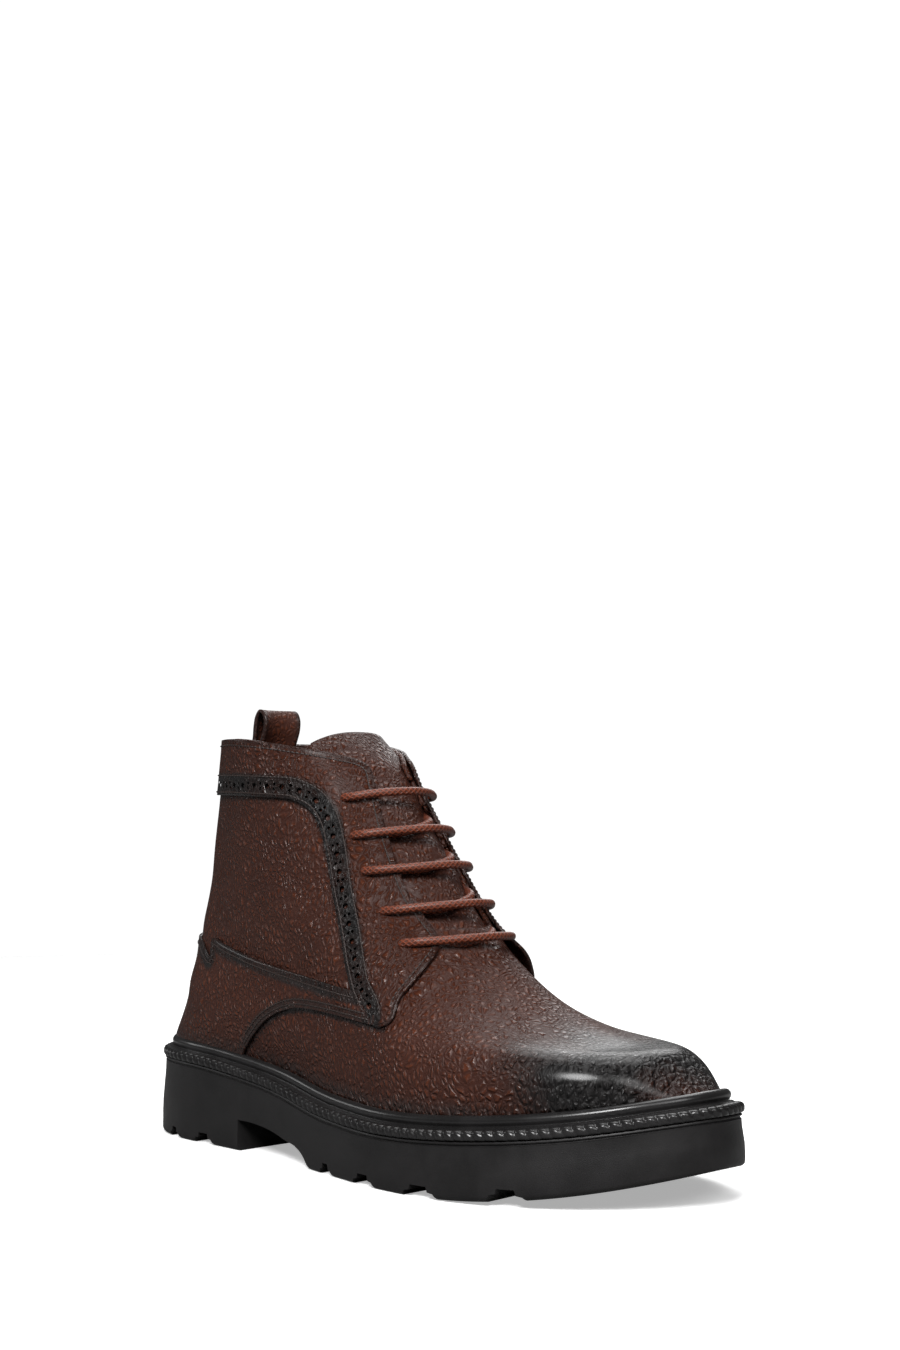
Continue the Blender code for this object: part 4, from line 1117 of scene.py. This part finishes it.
class BOOT_OT_welt(bpy.types.Operator):
    """Welt ring with its rope rim, ledge and glossy bead"""
    bl_idname = "boot.welt"
    bl_label = "Welt"

    def execute(self, context):
        table = [(*row, 0.0) for row in WELT_RIM]
        table += [(0.0, rise, 0.0, back) for back, rise in WELT_SEAT]
        count = len(table)
        fine = np.linspace(0, 2 * np.pi, 1441)
        run = run_along(outline(fine, 0.0))
        teeth = round(run[-1] / TOOTH_LENGTH)

        def place(u, v):
            spread = np.interp(u * run[-1], run, fine)
            share = share_of(spread)
            k = np.round(v * count).astype(int) % count
            out, rise, amount, back = columns(table, k)
            width = welt_width(share)
            scale = (width + 0.0004) / RIM_WIDTH
            inset = np.where(k < len(WELT_RIM), out * scale, width - back)
            wave = np.abs(np.sin(np.pi * (u * teeth + TOOTH_SLANT * rise / RIM_HEIGHT)))
            inset = inset + amount * TOOTH_DEPTH * (1 - wave**0.7)
            rise = rise - amount * TOOTH_DROP * (1 - wave**0.7) * (rise > 0.003)
            flat = outline(spread, inset)
            return np.column_stack([flat, top_edge(share) + rise])

        item = laid_grid("welt_rope_and_bead", 2600, count, place, merge=0.00001)
        edit_all(item, turn_outwards)
        look = rubber_look("welt_rubber_gloss", 0.33, 0.35, 0.00005)
        finish_piece(item, ("welt",), (look,))
        return {"FINISHED"}


class BOOT_OT_insole(bpy.types.Operator):
    """Insole board with its leather cover"""
    bl_idname = "boot.insole"
    bl_label = "Insole"

    def execute(self, context):
        def place(u, v):
            turn = u * 2 * np.pi
            share = share_of(turn)
            pull, rise = columns(INSOLE_ROWS, np.round(v * (len(INSOLE_ROWS) - 1)).astype(int))
            x, y = pulled(turn, welt_width(share) + INSOLE_INSET, pull)
            z = top_edge(share) + INSOLE_GAP + rise * INSOLE_THICKNESS
            return np.stack([x, y, z], -1)

        item = laid_grid("insole_cover", 160, len(INSOLE_ROWS) - 1, place, merge=0.00002)
        look = plain_look("insole_leather_tan", (0.20, 0.115, 0.060), 0.6, 0.0001, 700.0)
        finish_piece(item, ("insole",), (look,))
        return {"FINISHED"}


class BOOT_OT_upper(bpy.types.Operator):
    """Hollow upper of vamp and quarters, open at collar, throat and underneath"""
    bl_idname = "boot.upper"
    bl_label = "Upper"

    def execute(self, context):
        rows = 110

        def place(u, v):
            turn = u * 2 * np.pi
            level = np.clip((v * rows - TUCK_ROWS) / (rows - TUCK_ROWS), 0, 1)
            points = body(level, turn)
            sunk = np.clip(TUCK_ROWS - v * rows, 0, TUCK_ROWS) / TUCK_ROWS
            foot = top_edge(share_of(turn)) + TUCK_GAP
            points[:, 2] = points[:, 2] * (1 - sunk) + foot * sunk
            return points

        # Its burnish value holds the toning and the painted seam shade
        item = laid_grid(
            "upper_leather", 340, rows, place,
            values={"burnish_and_shade": lambda points, u, v: self.toning_and_seam_shade(points)}, merge=0.00001,
        )
        self.round_toe(item)
        self.open_throat(item)
        face_off_skin(item)
        thicken(item, sizes().wall, -1.0, 1, 1)
        looks = (
            leather_look("upper_leather_pebbled", 0.0, tumbled=True),
            plain_look("lining_leather", tuple(colours().lining), 0.65, 0.0001, 800.0),
        )
        finish_piece(item, ("upper",), looks)
        return {"FINISHED"}

    def toning_and_seam_shade(self, points):
        """Dark toning of the base leather, with painted shade along the seams beside foxing and
        facing.
        """
        dark = burnish_of(points)
        # Painted shade: darker along the lower edges of foxing and facing, where those overlays
        # shade the upper
        for at, reach, amount in ((foxing_at, 0.0030, 0.75), (facing_at, 0.0022, 0.55)):
            away, _ = nearest(points, *edge_line(at, 0.0, 500))
            dark = np.maximum(dark, amount * (1 - smooth(reach * 0.3, reach, away)))
        return dark

    def round_toe(self, item):
        """Rounds the crest of the toe cap, fading out towards the vamp and the bead."""
        count = len(item.data.vertices)
        co = np.empty(count * 3)
        item.data.vertices.foreach_get("co", co)
        co = co.reshape(-1, 3)
        above = co[:, 2] - bead_top(co[:, 0])
        weight = smooth(0.030, 0.065, co[:, 0]) * smooth(0.0, 0.006, above)
        group = item.vertex_groups.new(name="toe")
        for index in np.nonzero(weight > 0.01)[0]:
            group.add([int(index)], float(weight[index]), "REPLACE")
        apply(item, "SMOOTH", factor=0.5, iterations=140, vertex_group="toe")
        item.vertex_groups.clear()

    def open_throat(self, item):
        """Takes out the faces between the facings, down to the throat's foot."""
        make_active(item)
        mesh = item.data
        drop = []
        for face in mesh.polygons:
            x, y, z = face.center
            if x <= THROAT_BACK or z < THROAT_FOOT:
                continue
            half = float(curve(THROAT_HALF, min(z, 0.209))) + THROAT_SPARE
            if abs(y) < half * (0.55 + 0.45 * smooth(0.0965, 0.103, z)):
                drop.append(face.index)
        bpy.ops.object.mode_set(mode="EDIT")
        bpy.ops.mesh.select_mode(type="FACE")
        bpy.ops.mesh.select_all(action="DESELECT")
        bpy.ops.object.mode_set(mode="OBJECT")
        for index in drop:
            mesh.polygons[index].select = True
        bpy.ops.object.mode_set(mode="EDIT")
        bpy.ops.mesh.delete(type="FACE")
        bpy.ops.object.mode_set(mode="OBJECT")


class BOOT_OT_facing(bpy.types.Operator):
    """Collar band and facings in one, with the punched edge"""
    bl_idname = "boot.facing"
    bl_label = "Facing"

    def execute(self, context):
        item = band_piece("facing_and_collar", facing_at, 30, 560, FACING_STRIPS)
        looks = (
            leather_look("facing_leather_pebbled", 0.31, 0.22, 0.00105, 0.95, holes=True),
            plain_look("facing_cut_edge", (0.34, 0.22, 0.17), 0.6),
        )
        finish_piece(item, ("collar_facing",), looks)
        return {"FINISHED"}


class BOOT_OT_foxing(bpy.types.Operator):
    """Heel foxing with its notch and the long seam down to the sole"""
    bl_idname = "boot.foxing"
    bl_label = "Heel foxing"

    def execute(self, context):
        item = band_piece("heel_foxing_panel", foxing_at, 34, 420, FOXING_STRIPS)
        looks = (
            leather_look("foxing_leather_pebbled", 0.57, 0.27, 0.00085, 1.10),
            plain_look("foxing_raw_edge", tuple(colours().raw_edge), 0.7),
        )
        finish_piece(item, ("heel_foxing",), looks)
        return {"FINISHED"}


class BOOT_OT_tongue(bpy.types.Operator):
    """Tongue under the facings that rises above the collar"""
    bl_idname = "boot.tongue"
    bl_label = "Tongue"

    def execute(self, context):
        spread_count = 61
        spread = np.linspace(-1, 1, spread_count)
        fan = np.linspace(np.pi * 0.45, np.pi * 1.55, 401)
        grid = []
        for level in np.linspace(TONGUE_FOOT, 1.0, 46):
            half = TONGUE_HALF * (0.80 + 0.20 * np.clip((level - TONGUE_FOOT) / 0.3, 0, 1))
            here = np.full(len(fan), level)
            line = skin(here, fan) - skin_normal(here, fan) * UNDER_LEATHER
            run = run_along(line)
            run -= run[len(fan) // 2]
            grid.append(points_at(spread * half, run, line))
        grid = np.array(grid)
        middle = spread_count // 2
        lift = unit(grid[-1][middle] - grid[-6][middle])
        lift[0] -= 0.20
        lift /= lift[2]
        crown = TONGUE_TOP * (1 - 0.030 * np.abs(spread) ** 2.2)
        extra = []
        for rise in np.linspace(0.06, 1.0, 16):
            row = grid[-1] + lift * ((crown - grid[-1][:, 2]) * rise)[:, None]
            row[:, 1] *= 1 - 0.08 * rise**2
            extra.append(row)
        grid = np.concatenate([grid, np.array(extra)])
        rows = len(grid)

        def place(u, v):
            i = np.round(v * (rows - 1)).astype(int)
            j = np.round(u * (spread_count - 1)).astype(int)
            points = grid[i, j].copy()
            y, z = points[:, 1], points[:, 2]
            soft = 0.0006 * np.sin(z * 210 + y * 60) * np.sin(y * 150)
            points[:, 0] += soft * smooth(0.0, 0.25, v)
            return points

        item = laid_grid(
            "tongue_leather_piece", spread_count - 1, rows - 1, place,
            values={"burnish_and_shade": lambda points, u, v: 0.25 * smooth(0.165, 0.182, points[:, 2])},
        )
        face_towards(item, Vector((1.0, 0.0, 0.3)))
        thicken(item, TONGUE_THICKNESS, -1.0, 1, 1)
        looks = (
            leather_look("tongue_leather_pebbled", 0.83, 0.27, 0.00070, 0.90),
            plain_look("tongue_lining", tuple(colours().lining), 0.65, 0.0001, 800.0),
        )
        finish_piece(item, ("tongue",), looks)
        return {"FINISHED"}


class BOOT_OT_laces(bpy.types.Operator):
    """One round lace that runs through the eyelets from the lowest row to the top"""
    bl_idname = "boot.laces"
    bl_label = "Laces"

    def execute(self, context):
        radius = sizes().lace
        table = np.array(self.route(OVERLAY_GAP + sizes().overlay + radius))
        level, turn, height = table.T
        points = skin(level, turn) + skin_normal(level, turn) * height[:, None]
        knots = run_along(points)
        count = 1300
        line = curve_through(knots, points, np.linspace(0, knots[-1], count))
        along = unit(np.gradient(line, axis=0))
        keep = unit(np.cross(along[0], [0.0, 0.0, 1.0]))
        side = []
        for step in along:
            keep = unit(keep - step * np.dot(keep, step))
            side.append(keep)
        side = np.array(side)
        top = np.cross(along, side)

        def place(u, v):
            i = np.round(v * (count - 1)).astype(int)
            angle = u * 2 * np.pi
            end = np.clip(np.minimum(v, 1 - v) * count / 3.0, 0.15, 1)
            ring = side[i] * np.cos(angle)[:, None] + top[i] * np.sin(angle)[:, None]
            return line[i] + ring * (radius * end)[:, None]

        item = laid_grid(
            "round_lace", 20, count - 1, place, uv=lambda u, v: (u, v * knots[-1]), merge=0.000002
        )
        edit_all(item, turn_outwards)
        finish_piece(item, ("laces",), (lace_look(),))
        return {"FINISHED"}

    def route(self, over):
        """Levels, turns and heights above the skin that the lace passes from row to row."""
        route = []
        for row, (level, degrees) in enumerate(EYELETS):
            gap = math.pi - math.radians(degrees)
            inner, outer = math.pi + gap, math.pi - gap
            if row:
                before_level, before_degrees = EYELETS[row - 1]
                before = math.pi - math.radians(before_degrees)
                for share, height in CROSSING:
                    turn = math.pi - before + (before + gap) * share
                    rise = (level - before_level) * (share * 0.8 + 0.1)
                    route.append((before_level + rise, turn, height))
            route.append((level - 0.002, inner + 0.002, LACE_DIP))
            route.append((level, inner - 0.012, over * 0.55))
            route.append((level + 0.001, inner - 0.075, over + 0.0002))
            slack = BAR_SLACK * math.sin(row * 2.1)
            for share, extra in BAR:
                bow = BAR_BOW * (1 - share**2)
                route.append((level + bow, math.pi + gap * share, over + extra + slack))
            route.append((level + 0.001, outer + 0.075, over + 0.0002))
            route.append((level, outer + 0.012, over * 0.55))
            route.append((level - 0.002, outer - 0.002, LACE_DIP))
        route.append((level - 0.01, outer - 0.06, LACE_END))
        return route


class BOOT_OT_loop(bpy.types.Operator):
    """Folded pull loop at the back of the collar"""
    bl_idname = "boot.loop"
    bl_label = "Pull loop"

    def execute(self, context):
        base = body(np.array([1.0]), np.array([0.0]), np.array([-UNDER_LEATHER]))[0]
        path = base[[0, 2]] + np.array(LOOP_ROUTE)
        knots = run_along(path)

        def place(u, v):
            x, z = curve_through(knots, path, v * knots[-1]).T
            y = (u - 0.5) * LOOP_WIDTH
            return np.stack([x + LOOP_BOW * (2 * y / LOOP_WIDTH) ** 2, y, z], -1)

        def edge_toning(points, u, v):
            return 0.75 * (1 - smooth(0.0, 0.14, np.minimum(u, 1 - u)))

        item = laid_grid(
            "pull_loop_strap", 24, 70, place, uv=lambda u, v: (u * LOOP_WIDTH, v * knots[-1]),
            values={"burnish_and_shade": edge_toning},
        )
        face_towards(item, Vector((0.0, 0.0, -1.0)))
        thicken(item, LOOP_THICKNESS, 1.0, 0, 1)
        looks = (
            leather_look("loop_leather_pebbled", 0.11, 0.42, 0.00030, 1.10),
            plain_look("loop_cut_edge", (0.16, 0.060, 0.028), 0.65),
        )
        finish_piece(item, ("pull_loop",), looks)
        return {"FINISHED"}


class BOOT_OT_seams(bpy.types.Operator):
    """Stitch rows along facing, collar, foxing and vamp seam"""
    bl_idname = "boot.seams"
    bl_label = "Seams"

    def execute(self, context):
        lift = OVERLAY_GAP + sizes().overlay + SEAM_LIFT
        look = plain_look("seam_thread", tuple(colours().thread), 0.5)
        facing = [seam_path(facing_at, 0.0, d, 0.012, 0.988) for d in FACING_SEAMS]
        facing.append(seam_path(facing_at, 1.0, TOP_SEAM, 0.02, 0.98))
        thread("facing_stitches", facing, lift, look, "facing_leather")
        foxing = [seam_path(foxing_at, 1.0, TOP_SEAM, 0.02, 0.98)]
        for low, high in ((0.02, 0.235), (0.765, 0.98)):
            foxing += [seam_path(foxing_at, 0.0, d, low, high) for d in FOXING_SEAMS]
        thread("foxing_stitches", foxing, lift, look, "foxing_leather")
        return {"FINISHED"}


class BOOT_OT_stage(bpy.types.Operator):
    """Pale floor and backdrop, soft lights and the camera"""
    bl_idname = "boot.stage"
    bl_label = "Stage"

    def execute(self, context):
        deselect()
        bpy.ops.mesh.primitive_circle_add(vertices=96, radius=FLOOR_RADIUS, fill_type="NGON")
        floor = bpy.context.active_object
        floor.name = "floor"
        look, board, shader = new_material("floor_pale")
        seen = board.node("ShaderNodeLightPath").outputs["Is Camera Ray"]
        tone = board.mix(seen, FLOOR_IN_MIRROR, tuple(colours().floor))
        glow = board.mix(seen, (0.0, 0.0, 0.0), FLOOR_GLOW)
        feed(board, shader, base_color=tone, roughness=0.9, emission_color=glow)
        feed(board, shader, emission_strength=1.0)
        floor.data.materials.append(look)
        for light in LIGHTS:
            self.light(*light)
        self.world()
        bpy.context.scene.view_settings.view_transform = "Standard"
        self.camera()
        return {"FINISHED"}

    def world(self):
        """White paper behind the boot, dimmer where it lights and is mirrored."""
        world = bpy.data.worlds.new("studio")
        bpy.context.scene.world = world
        world.use_nodes = True
        back = world.node_tree.nodes["Background"]
        back.inputs["Color"].default_value = (1.0, 1.0, 1.0, 1.0)
        seen = world.node_tree.nodes.new("ShaderNodeLightPath").outputs["Is Camera Ray"]
        amount = world.node_tree.nodes.new("ShaderNodeMapRange")
        amount.inputs["To Min"].default_value = WORLD_AS_LIGHT
        amount.inputs["To Max"].default_value = WORLD_AS_SEEN
        world.node_tree.links.new(seen, amount.inputs["Value"])
        world.node_tree.links.new(amount.outputs["Result"], back.inputs["Strength"])

    def light(self, name, place, target, size, power):
        """Round area light turned towards its target."""
        data = bpy.data.lights.new(name, "AREA")
        data.shape = "DISK"
        data.size = size
        data.energy = power
        item = bpy.data.objects.new(name, data)
        bpy.context.scene.collection.objects.link(item)
        item.location = place
        item.rotation_euler = (Vector(target) - Vector(place)).to_track_quat("-Z", "Y").to_euler()

    def camera(self):
        """Camera that sees the boot as the photograph does."""
        data = bpy.data.cameras.new("camera")
        data.sensor_width = SENSOR
        data.lens = FOCUS_PIXELS * SENSOR / PHOTO_PIXELS
        item = bpy.data.objects.new("camera", data)
        bpy.context.scene.collection.objects.link(item)
        azimuth, elevation = math.radians(AZIMUTH), math.radians(ELEVATION)
        back = Vector((
            math.sin(azimuth) * math.cos(elevation),
            -math.cos(azimuth) * math.cos(elevation),
            math.sin(elevation),
        ))
        target = Vector((0.0, 0.0, LOOK_HEIGHT))
        place = target + back * DISTANCE
        right = Vector((math.cos(azimuth), math.sin(azimuth), 0.0))
        up = back.cross(right)
        aim = target + right * AIM_RIGHT + up * AIM_UP
        item.location = place
        item.rotation_euler = (aim - place).to_track_quat("-Z", "Y").to_euler()
        bpy.context.scene.camera = item


class BOOT_PT_panel(bpy.types.Panel):
    """Sidebar list of the boot's pieces"""
    bl_label = "Boot"
    bl_idname = "BOOT_PT_panel"
    bl_space_type = "VIEW_3D"
    bl_region_type = "UI"
    bl_category = "Boot"

    def draw(self, context):
        for group in (context.scene.boot_sizes, context.scene.boot_colours):
            box = self.layout.box()
            for key in group.__annotations__:
                box.prop(group, key)
        for operator in PIECES:
            self.layout.operator(operator.bl_idname)


PIECES = (
    BOOT_OT_outsole, BOOT_OT_welt, BOOT_OT_insole, BOOT_OT_upper, BOOT_OT_facing, BOOT_OT_foxing,
    BOOT_OT_tongue, BOOT_OT_laces, BOOT_OT_loop, BOOT_OT_seams, BOOT_OT_stage,
)
CLASSES = (BootSizes, BootColours, *PIECES, BOOT_PT_panel)


def register():
    for item in CLASSES:
        bpy.utils.register_class(item)
    bpy.types.Scene.boot_sizes = bpy.props.PointerProperty(type=BootSizes)
    bpy.types.Scene.boot_colours = bpy.props.PointerProperty(type=BootColours)


def unregister():
    del bpy.types.Scene.boot_colours
    del bpy.types.Scene.boot_sizes
    for item in reversed(CLASSES):
        bpy.utils.unregister_class(item)


def main():
    register()
    for operator in PIECES:
        group, name = operator.bl_idname.split(".")
        getattr(getattr(bpy.ops, group), name)()


if __name__ == "__main__":
    main()
